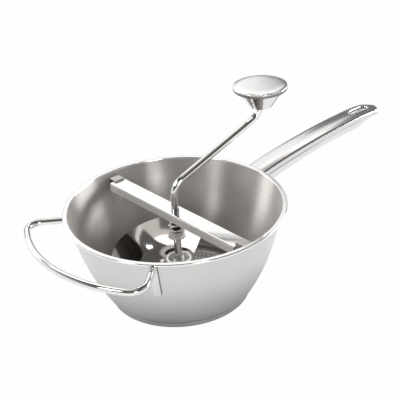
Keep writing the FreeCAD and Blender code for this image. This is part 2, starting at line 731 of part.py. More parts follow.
def top_section(x, inset, low_extra):
    """The top shell's outline at a distance from the axis."""
    half_w = handle_half_w(x) - inset
    top = handle_top_z(x) - inset
    low = handle_top_z(x) - HANDLE_SEAM_DEPTH - low_extra
    corner = min(HANDLE_TOP_CORNER_R, HANDLE_CORNER_SHARE * half_w)
    bend = corner * (1 - math.sqrt(0.5))
    crown = HANDLE_CROWN * half_w / (HANDLE_W / 2)
    flat = half_w - corner
    runs = [
        [(-half_w, low), (-half_w, top - corner)],
        [(-half_w, top - corner), (-half_w + bend, top - bend), (-flat, top)],
        [(-flat, top), (0, top + crown), (flat, top)],
        [(flat, top), (half_w - bend, top - bend), (half_w, top - corner)],
        [(half_w, top - corner), (half_w, low)],
        [(half_w, low), (-half_w, low)],
    ]
    return section_wire(runs, x)


def bottom_section(x, inset, high_extra):
    """The bottom shell's outline at a distance from the axis."""
    half_w = handle_half_w(x) - HANDLE_T - NEST_GAP - inset
    high = handle_top_z(x) - HANDLE_SEAM_DEPTH + HANDLE_NEST + high_extra
    low = handle_top_z(x) - handle_depth(x) + inset
    corner = min(HANDLE_BELLY_R, HANDLE_CORNER_SHARE * half_w, HANDLE_CORNER_SHARE * (high - low))
    bend = corner * (1 - math.sqrt(0.5))
    flat = half_w - corner
    runs = [
        [(-half_w, high), (-half_w, low + corner)],
        [(-half_w, low + corner), (-half_w + bend, low + bend), (-flat, low)],
        [(-flat, low), (flat, low)],
        [(flat, low), (half_w - bend, low + bend), (half_w, low + corner)],
        [(half_w, low + corner), (half_w, high)],
        [(half_w, high), (-half_w, high)],
    ]
    return section_wire(runs, x)


def hang_slot():
    """The cutter for the long slot near the handle's tip."""
    centre_x = HANDLE_START_X + HANDLE_LEN - HANG_SLOT_FROM_TIP
    half = (HANG_SLOT_LEN - HANG_SLOT_W) / 2
    radius = HANG_SLOT_W / 2
    depth = 2 * HANDLE_DEPTH
    low_z = HANDLE_ROOT_Z - HANDLE_DEPTH
    bar = box(vec(centre_x - half, -radius, low_z), vec(centre_x + half, radius, low_z + depth))
    ends = [Part.makeCylinder(radius, depth, vec(centre_x + side * half, 0, low_z)) for side in (-1, 1)]
    return bar.fuse(ends)


def make_handle_top_shell():
    """The handle's upper pressing."""
    inner_places = handle_places(2 * HANDLE_T)
    solid = Part.makeLoft([top_section(x, 0, 0) for x in handle_places(0)], True, False)
    hollow = Part.makeLoft([top_section(x, HANDLE_T, HANDLE_T) for x in inner_places], True, False)
    return solid.cut(hollow).cut(hang_slot())


def make_handle_bottom_shell():
    """The handle's lower pressing, nested in the upper one."""
    outer_places = handle_places(2 * HANDLE_T)
    inner_places = handle_places(4 * HANDLE_T)
    solid = Part.makeLoft([bottom_section(x, 0, 0) for x in outer_places], True, False)
    hollow = Part.makeLoft([bottom_section(x, HANDLE_T, HANDLE_T) for x in inner_places], True, False)
    return solid.cut(hollow).cut(hang_slot())


def make_handle_weld_plate():
    """The plate on the wall that carries the long handle."""
    outer = WALL_T + WELD_PLATE_T
    return WALL.plate(WELD_PLATE_LOW_Z, WELD_PLATE_TOP_Z, WALL_T, outer, WELD_PLATE_W, 0)


def make_handle_root():
    """The block from the weld plate into the handle's mouth, under the flange."""
    half_w = HANDLE_W / 2 - 2 * HANDLE_T - NEST_GAP - ROOT_GAP
    face = WALL_T + WELD_PLATE_T
    sections = []
    for x in (HANDLE_START_X - 2 * FLANGE_W, HANDLE_START_X, HANDLE_START_X + ROOT_PLUG_LEN):
        top = handle_top_z(max(x, HANDLE_START_X))
        high = min(top - HANDLE_T - ROOT_GAP, WELD_PLATE_TOP_Z + top - HANDLE_ROOT_Z)
        low = top - HANDLE_DEPTH + HANDLE_BELLY_R + ROOT_GAP
        corners = [vec(x, -half_w, low), vec(x, half_w, low), vec(x, half_w, high), vec(x, -half_w, high)]
        sections.append(Part.makePolygon(corners + corners[:1]))
    solid = Part.makeLoft(sections, True, True)
    backing = WALL.edges(WELD_PLATE_LOW_Z, BOWL_H, face)
    core = [
        line(WALL.point(BOWL_H, face), vec(0, 0, BOWL_H)),
        line(vec(0, 0, BOWL_H), vec(0, 0, WELD_PLATE_LOW_Z)),
        line(vec(0, 0, WELD_PLATE_LOW_Z), WALL.point(WELD_PLATE_LOW_Z, face)),
    ]
    return solid.cut(turned(Part.__sortEdges__(backing + core)))


def make_wire_handle():
    """The bent rod: two legs out from the wall, two corners and an arc round the bowl."""
    corner_r = WIRE_ARC_R - WIRE_CORNER_R
    turn = math.degrees(math.asin(WIRE_CORNER_R / corner_r))
    leg_end = math.sqrt(corner_r ** 2 - WIRE_CORNER_R ** 2)
    leg_start = WALL.radius(WIRE_Z, WALL_T + FOOT_T) - WELD_DEPTH
    corner_deg = WIRE_LEG_DEG + turn
    half = []
    for side in (1, -1):
        centre = polar(corner_r, side * corner_deg, WIRE_Z)
        leave = polar(leg_end, side * WIRE_LEG_DEG, WIRE_Z)
        meet = polar(WIRE_ARC_R, side * corner_deg, WIRE_Z)
        outward = leave.sub(centre).add(meet.sub(centre)).normalize()
        half.append((leave, centre.add(outward.multiply(WIRE_CORNER_R)), meet))
    far, near = half
    path = [
        line(polar(leg_start, WIRE_LEG_DEG, WIRE_Z), far[0]),
        arc(*far),
        arc(far[2], vec(-WIRE_ARC_R, 0, WIRE_Z), near[2]),
        arc(near[2], near[1], near[0]),
        line(near[0], polar(leg_start, -WIRE_LEG_DEG, WIRE_Z)),
    ]
    return swept(path, WIRE_R)


def make_wire_foot(direction_deg):
    """The flat foot of one leg of the wire handle, welded down the wall."""
    high_z = WIRE_Z + WIRE_R
    return WALL.plate(high_z - FOOT_LEN, high_z, WALL_T, WALL_T + FOOT_T, FOOT_W, direction_deg)


def make_all():
    """Every piece by its node's name."""
    return {
        "bowl": make_bowl(),
        "sieve_disc": make_sieve_disc(),
        "sieve_bush": make_sieve_bush(),
        "bar_bracket_far": make_bar_bracket(90 - BRACKET_TURN_DEG),
        "bar_bracket_near": make_bar_bracket(BRACKET_TURN_DEG - 90),
        "crossbar": make_crossbar(),
        "spring_washer_upper": make_spring_washer_upper(),
        "spring_washer_lower": make_spring_washer_lower(),
        "pressure_spring": make_pressure_spring(),
        "stop_ring": make_stop_ring(),
        "crank_rod": make_crank_rod(),
        "pressing_blade": make_pressing_blade(),
        "blade_hub": make_blade_hub(),
        "knob_cap": make_knob_cap(),
        "knob_cone": make_knob_cone(),
        "knob_web": make_knob_web(),
        "knob_bush": make_knob_bush(),
        "knob_clip": make_knob_clip(),
        "knob_thrust_washer": make_knob_thrust_washer(),
        "handle_top_shell": make_handle_top_shell(),
        "handle_bottom_shell": make_handle_bottom_shell(),
        "handle_weld_plate": make_handle_weld_plate(),
        "handle_root": make_handle_root(),
        "wire_handle": make_wire_handle(),
        "wire_foot_far": make_wire_foot(WIRE_LEG_DEG),
        "wire_foot_near": make_wire_foot(-WIRE_LEG_DEG),
    }


os.makedirs("parts", exist_ok=True)
for node, shape in make_all().items():
    if not shape.isValid() or len(shape.Solids) != 1:
        print("check %s: valid %s, solids %d" % (node, shape.isValid(), len(shape.Solids)))
    shape.exportStep("parts/%s.step" % node)
    print("%s volume %.0f mm3" % (node, shape.Volume))
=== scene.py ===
"""Dresses the food mill: smooth pressed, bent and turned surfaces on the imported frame, their finishes,
the studio and the camera.

Sizes are millimetres unless a name says otherwise. Meshes are written in metres, in the frame's axes:
Z up the bowl's axis, X along the long handle, Y along the bar.
"""
import sys
import logging
import math
from dataclasses import dataclass, field
from enum import Enum
from typing import Any, Dict, List, Optional, Sequence, Tuple, Union

import bmesh
import bpy
import numpy as np
from mathutils import Matrix, Vector
from mathutils.geometry import delaunay_2d_cdt


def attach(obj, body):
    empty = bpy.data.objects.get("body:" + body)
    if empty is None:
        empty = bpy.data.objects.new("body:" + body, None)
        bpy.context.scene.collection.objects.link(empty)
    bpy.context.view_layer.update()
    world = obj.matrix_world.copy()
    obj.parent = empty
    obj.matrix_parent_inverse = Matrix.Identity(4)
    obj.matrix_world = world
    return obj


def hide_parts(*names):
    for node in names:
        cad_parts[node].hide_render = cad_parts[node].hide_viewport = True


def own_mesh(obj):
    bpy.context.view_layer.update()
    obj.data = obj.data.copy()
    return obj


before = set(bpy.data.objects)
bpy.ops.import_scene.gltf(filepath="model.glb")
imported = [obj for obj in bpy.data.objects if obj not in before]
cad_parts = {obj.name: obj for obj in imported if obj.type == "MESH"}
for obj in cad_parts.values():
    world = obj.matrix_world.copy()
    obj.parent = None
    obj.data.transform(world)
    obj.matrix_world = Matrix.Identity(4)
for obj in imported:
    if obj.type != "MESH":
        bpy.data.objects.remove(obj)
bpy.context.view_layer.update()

LOG = logging.getLogger("food_mill")
MM = 0.001
MICRON = 1e-6
Array = np.ndarray
Colour = Tuple[float, float, float]
Key = Union[int, str]


class Body(str, Enum):
    """Moving bodies of the frame."""

    BOWL = "bowl_body"
    BAR = "bar"
    SHAFT = "shaft_lift"
    CRANK = "crank"
    KNOB = "knob"


class Slot(str, Enum):
    """Material slots of the record."""

    BOWL = "bowl_satin_steel"
    SIEVE = "sieve_steel"
    BAR = "bar_steel"
    SPRING = "spring_steel"
    ROD = "polished_rod"
    BLADE = "mirror_blade"
    KNOB = "knob_steel"
    HANDLE = "handle_satin_steel"


class Grain(Enum):
    """Which way a finish was brushed."""

    ROUND = "round"
    ALONG_X = "along_x"
    ALONG_Y = "along_y"


# Surfaces


@dataclass
class Surface:
    """Points in millimetres, blocks of faces with one corner count each, and a zone for every face."""

    points: Array
    blocks: List[Array]
    zones: List[Array]

    @classmethod
    def of(cls, points: Array, faces: Array, zone: Union[int, Array] = 0) -> "Surface":
        """A surface of one block of faces.

        Args:
            points: Array whose last axis holds x, y and z.
            faces: Rows of point numbers.
            zone: One zone, or one for each face.

        Returns:
            The surface.
        """
        zones = np.broadcast_to(np.asarray(zone, int), len(faces)).copy()
        return cls(np.reshape(points, (-1, 3)), [faces], [zones])

    def __add__(self, other: "Surface") -> "Surface":
        """Both surfaces as one."""
        blocks = self.blocks + [block + len(self.points) for block in other.blocks]
        return Surface(np.concatenate([self.points, other.points]), blocks, self.zones + other.zones)

    def turned(self, degrees: float) -> "Surface":
        """The surface turned about the bowl's axis.

        Args:
            degrees: Angle from X towards Y.

        Returns:
            The turned surface.
        """
        angle = math.radians(degrees)
        cos, sin = math.cos(angle), math.sin(angle)
        turn = np.array([[cos, sin, 0.0], [-sin, cos, 0.0], [0.0, 0.0, 1.0]])
        return Surface(self.points @ turn, self.blocks, self.zones)

    def moved(self, offset: Sequence[float]) -> "Surface":
        """The surface moved by an offset."""
        return Surface(self.points + np.asarray(offset, float), self.blocks, self.zones)


def grid_faces(rows: int, columns: int, wrap_rows: bool = False, wrap_columns: bool = False) -> Array:
    """Four-cornered faces between neighbours of a grid of points.

    Args:
        rows: Number of rows.
        columns: Number of points in a row.
        wrap_rows: Whether the last row joins the first.
        wrap_columns: Whether each row is a closed loop.

    Returns:
        Rows of four point numbers.
    """
    row = np.arange(rows if wrap_rows else rows - 1)
    column = np.arange(columns if wrap_columns else columns - 1)
    i, j = np.meshgrid(row, column, indexing="ij")
    i_next, j_next = (i + 1) % rows, (j + 1) % columns
    corners = [i * columns + j, i * columns + j_next, i_next * columns + j_next, i_next * columns + j]
    return np.stack(corners, axis=-1).reshape(-1, 4)


def unit(vectors: Array) -> Array:
    """Vectors along the last axis, each divided by its length."""
    return vectors / np.maximum(np.linalg.norm(vectors, axis=-1, keepdims=True), 1e-12)


def rounded(points: Any, radii: Any, steps: int = 6, closed: bool = True) -> Array:
    """A line of straight runs with a round arc at each corner.

    The arc's centre lies on the corner's bisector at radius / sin(half the corner's angle), and its
    points are the spherical blend of the two radii that meet the runs.

    Args:
        points: Corners in two or three dimensions.
        radii: One radius, or one for each corner; zero keeps the corner.
        steps: Points on each arc.
        closed: Whether the last corner joins the first.

    Returns:
        The points of the line.
    """
    corner = np.asarray(points, float)
    radius = np.broadcast_to(np.asarray(radii, float), len(corner)).copy()
    if not closed:
        radius[[0, -1]] = 0.0
    before = unit(np.roll(corner, 1, axis=0) - corner)
    after = unit(np.roll(corner, -1, axis=0) - corner)
    half = 0.5 * np.arccos(np.clip((before * after).sum(axis=1), -1.0, 1.0))
    half = np.clip(half, 1e-3, math.pi / 2 - 1e-3)[:, None]
    reach = radius[:, None]
    centre = corner + unit(before + after) * reach / np.sin(half)
    start = corner + before * reach / np.tan(half) - centre
    end = corner + after * reach / np.tan(half) - centre
    sweep = (math.pi - 2 * half)[:, :, None]
    share = np.linspace(0.0, 1.0, steps)[None, :, None]
    blend = np.sin((1 - share) * sweep) * start[:, None] + np.sin(share * sweep) * end[:, None]
    arcs = centre[:, None] + blend / np.sin(sweep)
    kept = np.ones(arcs.shape[:2], bool)
    kept[radius == 0.0, 1:] = False
    arcs[radius == 0.0, 0] = corner[radius == 0.0]
    return arcs[kept]


def supported(line: Array, reach: float = 0.25, closed: bool = True) -> Array:
    """A line with a further point near both ends of each long run, so that its shading stays flat.

    Args:
        line: Points of the line.
        reach: Distance of the new points from the ends of their run.
        closed: Whether the last point joins the first.

    Returns:
        The line with the new points in their places.
    """
    full = np.concatenate([line, line[:1]]) if closed else line
    length = np.linalg.norm(np.diff(full, axis=0), axis=1)
    run = np.flatnonzero(length > 4 * reach)
    share = reach / length[run]
    place = np.sort(np.concatenate([np.arange(len(full)), run + share, run + 1 - share]))
    made = np.stack([np.interp(place, np.arange(len(full)), axis) for axis in full.T], axis=-1)
    return made[:-1] if closed else made


def spread(path: Array, step: float) -> Array:
    """A path with further points on its runs.

    Args:
        path: Points of the path.
        step: Largest distance between two points of a run.

    Returns:
        The path with the new points in their places.
    """
    length = np.concatenate([[0.0], np.cumsum(np.linalg.norm(np.diff(path, axis=0), axis=1))])
    even = np.linspace(0.0, length[-1], max(2, int(math.ceil(length[-1] / step))))
    near = np.abs(even[:, None] - length[None]).min(axis=1) < 0.3 * step
    place = np.unique(np.concatenate([length, even[~near]]))
    return np.stack([np.interp(place, length, axis) for axis in path.T], axis=-1)


def revolve(outline: Array, steps: int = 96, zones: Union[int, Array] = 0, closed: bool = True) -> Surface:
    """A turned surface: (radius, height) pairs carried round the upright axis.

    Each point goes to (r cos a, r sin a, z) for even angles a.

    Args:
        outline: Pairs of radius and height.
        steps: Angles in a full turn.
        zones: Zone of each run of the outline.
        closed: Whether the outline's last point joins its first.

    Returns:
        The turned surface.
    """
    angle = np.linspace(0.0, 2 * math.pi, steps, endpoint=False)
    r, z = outline[:, :1], outline[:, 1:]
    points = np.stack([r * np.cos(angle), r * np.sin(angle), z + 0 * angle], axis=-1)
    faces = grid_faces(len(outline), steps, closed, True)
    runs = len(outline) if closed else len(outline) - 1
    return Surface.of(points, faces, np.repeat(np.broadcast_to(zones, runs), steps))


def tube(path: Array, across: Any, radius: Any, sides: int = 24, edge: float = 0.5) -> Surface:
    """A round rod: circles of a given radius square to a path, closed at both ends with a small edge.

    Each circle is path + radius * (cos a * across + sin a * (heading x across)).

    Args:
        path: Points of the centre line.
        across: One direction, or one for each point, square to the path.
        radius: One radius, or one for each point.
        sides: Points on each circle.
        edge: Size of the broken edge at the ends.

    Returns:
        The rod's surface.
    """
    radius = np.broadcast_to(np.asarray(radius, float), len(path))
    heading = unit(np.gradient(path, axis=0))
    across = np.broadcast_to(np.asarray(across, float), path.shape)
    ends = np.array([0, 0, 0] + list(range(1, len(path) - 1)) + [-1, -1, -1])
    centre, heading, across, radius = path[ends], heading[ends], across[ends], radius[ends].copy()
    radius[[0, -1]] = 0.0
    radius[[1, -2]] -= edge
    centre[2] += edge * heading[2]
    centre[-3] -= edge * heading[-3]
    angle = np.linspace(0.0, 2 * math.pi, sides, endpoint=False)[None, :, None]
    second = np.cross(heading, across)[:, None]
    ring = np.cos(angle) * across[:, None] + np.sin(angle) * second
    points = centre[:, None] + radius[:, None, None] * ring
    return Surface.of(points, grid_faces(len(centre), sides, False, True))


def washer(
    inner: float, outer: float, low: float, high: float, edge: float = 0.2, arc: int = 4, steps: int = 48
) -> Surface:
    """A plain ring: a rectangle of radii and heights with round edges, carried round the upright axis."""
    corners = [(inner, low), (outer, low), (outer, high), (inner, high)]
    return revolve(rounded(corners, edge, arc), steps)


def mirrored_shell(
    outer: Array, inner: Array, opening: Array, axis: int, zones: Union[int, Array] = 0, inside: int = 0
) -> Surface:
    """A pressed channel with its mirror image, walls of sheet and an opening along its middle line.

    Both arrays hold (station, column) points from the middle line, or the opening's edge, to the free
    edge. Sheet edges are closed between equal columns, and the opening's wall only where it is open.

    Args:
        outer: Points of the outside.
        inner: Points of the inside.
        opening: Half width of the opening at each station.
        axis: Axis that the shape is mirrored across.
        zones: One zone for the outside, or one for each of its strips between columns.
        inside: Zone of the inside.

    Returns:
        The closed surface.
    """
    stations, columns = outer.shape[:2]
    number = np.arange(stations * columns).reshape(stations, columns)
    back = number + stations * columns

    def strip(a: Array, b: Array) -> Array:
        """Faces between two lines of equal length."""
        return np.stack([a[:-1], a[1:], b[1:], b[:-1]], axis=-1)

    is_open = np.maximum(opening[:-1], opening[1:]) > 0.0
    faces = np.concatenate([
        grid_faces(stations, columns),
        grid_faces(stations, columns)[:, ::-1] + stations * columns,
        strip(number[:, -1], back[:, -1]),
        strip(back[:, 0], number[:, 0])[is_open],
        strip(back[0], number[0]),
        strip(number[-1], back[-1]),
    ])
    points = np.concatenate([outer.reshape(-1, 3), inner.reshape(-1, 3)])
    count = (stations - 1) * (columns - 1)
    zone = np.zeros(len(faces), int)
    zone[:count] = np.tile(np.broadcast_to(zones, columns - 1), stations - 1)
    zone[count:2 * count] = inside
    flip = np.ones(3)
    flip[axis] = -1.0
    return Surface.of(points, faces, zone) + Surface.of(points * flip, faces[:, ::-1], zone)


def pierced_disc(outer: Array, holes: Array, keep_inside: float, bore: float) -> Tuple[Array, Array, Array]:
    """A flat plate with holes, cut into triangles.

    All loops are edges of one Delaunay triangulation; triangles whose middle lies in a hole are left out.

    Args:
        outer: Points of the plate's edge.
        holes: Loops of points (hole, corner, 2); the last loop is the bore in the middle.
        keep_inside: Largest distance of a kept triangle's middle from a hole's middle to be cut away.
        bore: The same for the bore.

    Returns:
        Plane points, triangles, and the directed edges that bound holes but not the plate's edge.
    """
    loops = [outer] + [loop for loop in holes]
    sizes = np.array([len(loop) for loop in loops])
    starts = np.concatenate([[0], np.cumsum(sizes)[:-1]])
    edges = np.concatenate([
        np.stack([np.arange(n), (np.arange(n) + 1) % n], axis=-1) + s for n, s in zip(sizes, starts)
    ])
    flat = np.concatenate(loops)
    made = delaunay_2d_cdt([Vector(p) for p in flat.tolist()], edges.tolist(), [], 0, 1e-5, False)
    points = np.array([tuple(p) for p in made[0]])
    triangles = np.array(made[2], int)
    middle = points[triangles].mean(axis=1)
    centres = np.array([loop.mean(axis=0) for loop in holes])
    limits = np.full(len(holes), keep_inside)
    limits[-1] = bore
    distance = np.linalg.norm(middle[:, None] - centres[None], axis=-1)
    triangles = triangles[(distance > limits).all(axis=1)]
    directed = np.concatenate([triangles[:, [0, 1]], triangles[:, [1, 2]], triangles[:, [2, 0]]])
    code = directed[:, 0] * len(points) + directed[:, 1]
    reverse = directed[:, 1] * len(points) + directed[:, 0]
    bound = directed[~np.isin(code, reverse)]
    rim = np.linalg.norm(points[bound].mean(axis=1), axis=1) > 0.99 * np.linalg.norm(outer[0])
    return points, triangles, bound[~rim]


@dataclass(frozen=True)
class WallLine:
    """The bowl's wall from foot to rim: a cone above, bent to a tangent arc below."""

    foot_r: float = 68.5
    foot_z: float = 7.0
    rim_r: float = 100.0
    rim_z: float = 91.0
    cone_h: float = 28.8
    tuck: float = 8.77
    sheet: float = 1.0

    def _shape(self) -> Tuple[float, Array, Array, float, Array]:
        """Where the cone and the arc lie.

        Returns:
            Slope of the cone, its outward direction, its joint with the arc, the arc's radius and centre.
        """
        run, rise = self.rim_r - self.foot_r, self.rim_z - self.foot_z
        lean = math.atan2(run, rise) - math.asin(self.tuck / math.hypot(run, rise))
        out = np.array([math.cos(lean), -math.sin(lean)])
        slope = math.tan(lean)
        joint = np.array([self.rim_r - self.cone_h * slope, self.rim_z - self.cone_h])
        gap = np.array([self.foot_r, self.foot_z]) - joint
        bend = float(gap @ gap) / (2 * self.tuck)
        return slope, out, joint, bend, joint - bend * out

    def radius(self, z: Any, offset: float = 0.0) -> Array:
        """Radius of the wall.

        Args:
            z: Heights.
            offset: Distance outwards from the wall's inside.

        Returns:
            A radius for each height.
        """
        slope, out, joint, bend, centre = self._shape()
        top = joint + offset * out
        z = np.asarray(z, float)
        root = np.sqrt(np.maximum((bend + offset) ** 2 - (z - centre[1]) ** 2, 0.0))
        return np.where(z >= top[1], top[0] + (z - top[1]) * slope, centre[0] + root)

    def line(self, low: float, high: float, offset: float, count: int) -> Array:
        """Pairs of radius and height up the wall, from a low height to a high one."""
        z = np.linspace(low, high, count)
        return np.stack([self.radius(z, offset), z], axis=-1)


WALL = WallLine()


def strap(
    path: Array, width: Any, thickness: float, edge: float, heading_deg: float, edge_zone: int = 0
) -> Surface:
    """A flat strip bent along a line in the upright plane, following the bowl round across its width.

    A rounded rectangle is carried along the line: thickness along the line's normal, width as an arc
    about the bowl's axis. The end sections shrink by the edge and close on their middle.

    Args:
        path: Pairs of radius and height of the strip's middle.
        width: One width, or one for each point.
        thickness: Thickness of the strip.
        edge: Radius of the strip's edges.
        heading_deg: Direction of the strip round the bowl's axis.
        edge_zone: Zone of the strip's two long edges.

    Returns:
        The closed surface.
    """
    path = supported(path, edge, closed=False)
    width = np.interp(np.linspace(0, 1, len(path)), np.linspace(0, 1, np.size(width)), np.atleast_1d(width))
    tangent = unit(np.gradient(path, axis=0))
    ends = np.array([0, 0] + list(range(len(path))) + [-1, -1])
    quarter, run = np.linspace(0.0, math.pi / 2, 6), np.linspace(0.75, -0.75, 7)
    flat = np.full(len(run), math.pi / 2)
    angle = np.concatenate([quarter, flat, quarter + math.pi / 2])
    angle = np.concatenate([angle, angle + math.pi])
    side = np.concatenate([np.ones(6), run, -np.ones(6)])
    side = np.concatenate([side, -side])
    face = np.repeat([1.0, -1.0], len(angle) // 2)
    shrink = np.zeros(len(ends))
    shrink[[1, -2]] = 0.6 * edge
    scale = np.ones(len(ends))
    scale[[0, -1]] = 0.0
    across = side * (width[ends, None] / 2 - edge) + (edge - shrink[:, None]) * np.cos(angle)
    depth = face * (thickness / 2 - edge) + (edge - shrink[:, None]) * np.sin(angle)
    across, depth = across * scale[:, None], depth * scale[:, None]
    centre, heading = path[ends], tangent[ends]
    r = centre[:, :1] + heading[:, 1:] * depth
    z = centre[:, 1:] - heading[:, :1] * depth
    turn = across / np.maximum(r, 1.0)
    points = np.stack([r * np.cos(turn), r * np.sin(turn), z], axis=-1)
    is_edge = (np.abs(np.cos(angle)) > 0.5) & (np.abs(np.cos(np.roll(angle, -1))) > 0.5)
    zones = np.tile(is_edge * edge_zone, len(ends) - 1)
    return Surface.of(points, grid_faces(len(ends), len(angle), False, True), zones).turned(heading_deg)


# Finishes


class Shade:
    """An output socket that takes part in Python arithmetic: each operation adds a Math node."""

    def __init__(self, graph: "Graph", socket: bpy.types.NodeSocket) -> None:
        """Keeps the socket and the graph that it belongs to."""
        self.graph = graph
        self.socket = socket

    def _math(self, operation: str, first: Any, second: Any) -> "Shade":
        """A Math node on two values."""
        return self.graph.node("ShaderNodeMath", {"operation": operation}, {0: first, 1: second})

    def __add__(self, other: Any) -> "Shade":
        """Sum."""
        return self._math("ADD", self, other)

    __radd__ = __add__

    def __sub__(self, other: Any) -> "Shade":
        """Difference."""
        return self._math("SUBTRACT", self, other)

    def __rsub__(self, other: Any) -> "Shade":
        """Difference with the socket on the right."""
        return self._math("SUBTRACT", other, self)

    def __mul__(self, other: Any) -> "Shade":
        """Product."""
        return self._math("MULTIPLY", self, other)

    __rmul__ = __mul__

    def __pow__(self, other: Any) -> "Shade":
        """Power."""
        return self._math("POWER", self, other)

    def __rpow__(self, other: Any) -> "Shade":
        """Power with the socket as the exponent."""
        return self._math("POWER", other, self)

    def above(self, other: Any) -> "Shade":
        """The larger of two values."""
        return self._math("MAXIMUM", self, other)

    def below(self, other: Any) -> "Shade":
        """The smaller of two values."""
        return self._math("MINIMUM", self, other)

    def step(self, low: float, high: float) -> "Shade":
        """A smooth step from 0 at a low value to 1 at a high one."""
        sockets = {"Value": self, "From Min": low, "From Max": high}
        return self.graph.node("ShaderNodeMapRange", {"interpolation_type": "SMOOTHSTEP"}, sockets)

    def fade(self, low: float, high: float) -> "Shade":
        """A smooth step from 1 at a low value to 0 at a high one."""
        return 1.0 - self.step(low, high)


class Graph:
    """Makes the nodes of one material or of the world."""

    def __init__(self, tree: bpy.types.NodeTree) -> None:
        """Starts with an empty tree."""
        self.tree = tree
        tree.nodes.clear()

    @staticmethod
    def _find(sockets: Any, key: Key) -> bpy.types.NodeSocket:
        """One socket of a node.

        Args:
            sockets: The node's inputs or outputs.
            key: The socket's number, identifier or name.

        Returns:
            The socket.
        """
        if isinstance(key, int):
            return sockets[key]
        found = [s for s in sockets if s.identifier == key] or [s for s in sockets if s.name == key]
        return found[0]

    def node(
        self,
        kind: str,
        settings: Optional[Dict[str, Any]] = None,
        sockets: Optional[Dict[Key, Any]] = None,
        output: Key = 0,
    ) -> Shade:
        """Any node.

        Args:
            kind: The node's type.
            settings: Properties, set first.
            sockets: Values or links of the inputs.
            output: The output that is handed back.

        Returns:
            The output, ready for arithmetic.
        """
        made = self.tree.nodes.new(kind)
        for name, value in (settings or {}).items():
            setattr(made, name, value)
        for key, value in (sockets or {}).items():
            target = self._find(made.inputs, key)
            if isinstance(value, Shade):
                self.tree.links.new(value.socket, target)
            else:
                target.default_value = value
        outputs = made.outputs
        return Shade(self, self._find(outputs, output) if len(outputs) else None)

    def mix(self, share: Any, first: Any, second: Any) -> Shade:
        """A blend of two colours.

        Args:
            share: Share of the second colour.
            first: A colour or a link.
            second: A colour or a link.

        Returns:
            The blended colour.
        """
        sockets = {
            "Factor_Float": share,
            "A_Color": first if isinstance(first, Shade) else (*first, 1.0),
            "B_Color": second if isinstance(second, Shade) else (*second, 1.0),
        }
        return self.node("ShaderNodeMix", {"data_type": "RGBA"}, sockets, "Result_Color")

    def noise(self, vector: Shade, scale: float, detail: float, roughness: float = 0.5) -> Shade:
        """Soft noise between 0 and 1.

        Args:
            vector: Where the noise is read.
            scale: Its fineness.
            detail: How many finer layers it has.
            roughness: How strong these are.

        Returns:
            The noise.
        """
        sockets = {"Vector": vector, "Scale": scale, "Detail": detail, "Roughness": roughness}
        return self.node("ShaderNodeTexNoise", None, sockets, "Fac")


@dataclass(frozen=True)
class Steel:
    """A steel finish: tint, polish, the way it was brushed, and how it has worn."""

    name: str
    tint: Colour = (0.62, 0.61, 0.6)
    cloud_tint: Colour = (0.55, 0.54, 0.525)
    roughness: float = 0.3
    cloud_rough: float = 0.08
    grain_rough: float = 0.1
    grain: Grain = Grain.ROUND
    grain_per_mm: float = 2.2
    grain_depth_um: float = 1.2
    anisotropy: float = 0.0
    turn: float = 0.25
    scratches: float = 0.15
    line_weight: float = 0.25
    metal: float = 1.0
    centre: Tuple[float, float] = (0.0, 0.0)
    cache: Dict[str, bpy.types.Material] = field(default_factory=dict, compare=False, repr=False)

    def _grain_vector(self, graph: Graph) -> Tuple[Shade, Shade]:
        """Object coordinates, and the same drawn out along the brushing.

        Args:
            graph: The material's graph.

        Returns:
            Plain coordinates and drawn-out ones, both in metres times the grain's fineness.
        """
        plain = graph.node("ShaderNodeTexCoord", None, None, "Object")
        parts = [graph.node("ShaderNodeSeparateXYZ", None, {0: plain}, axis) for axis in range(3)]
        x, y, z = parts[0] - self.centre[0] * MM, parts[1] - self.centre[1] * MM, parts[2]
        fine = self.grain_per_mm / MM
        slow = fine / 60.0
        if self.grain is Grain.ROUND:
            away = (x * x + y * y) ** 0.5
            drawn = (x * slow, y * slow, (z + away) * fine)
        elif self.grain is Grain.ALONG_X:
            drawn = (x * slow, y * fine, z * fine)
        else:
            drawn = (x * fine, y * slow, z * fine)
        return plain, graph.node("ShaderNodeCombineXYZ", None, dict(enumerate(drawn)))

    def material(self) -> bpy.types.Material:
        """The material: brushed lines, cloudy wiping marks and a few stray scratches on bare steel.

        Returns:
            The material, made once.
        """
        if self.name in self.cache:
            return self.cache[self.name]
        made = bpy.data.materials.new(self.name)
        made.use_nodes = True
        graph = Graph(made.node_tree)
        plain, drawn = self._grain_vector(graph)
        lines = graph.noise(drawn, 1.0, 3.0, 0.65)
        broad = graph.noise(drawn, 0.16, 2.0)
        cloud = graph.noise(plain, 34.0, 3.0)
        stray = graph.noise(drawn, 0.42, 4.0, 0.7).step(0.6, 0.74)
        stray = stray * (cloud - 0.45).step(0.0, 0.2) * self.scratches
        shade = (lines * self.line_weight + broad * 0.2 + cloud * 0.7 - 0.1).above(0.0).below(1.0)
        colour = graph.mix(shade, self.tint, self.cloud_tint)
        rough = self.roughness + (lines - 0.5) * self.grain_rough + (cloud - 0.5) * self.cloud_rough
        height = lines + broad * 0.6 - stray
        relief = {"Strength": 0.6, "Distance": self.grain_depth_um * MICRON, "Height": height}
        bump = graph.node("ShaderNodeBump", None, relief)
        sockets = {
            "Base Color": colour,
            "Metallic": self.metal,
            "Roughness": (rough + stray * 0.25).above(0.03),
            "Anisotropic": self.anisotropy,
            "Anisotropic Rotation": self.turn,
            "Normal": bump,
        }
        shader = graph.node("ShaderNodeBsdfPrincipled", None, sockets)
        graph.node("ShaderNodeOutputMaterial", None, {"Surface": shader})
        self.cache[self.name] = made
        return made


CRANK_REACH = 100.0
CRANK_TURN_DEG = -9.5
KNOB_AXIS = (
    CRANK_REACH * math.cos(math.radians(CRANK_TURN_DEG)),
    CRANK_REACH * math.sin(math.radians(CRANK_TURN_DEG)),
)

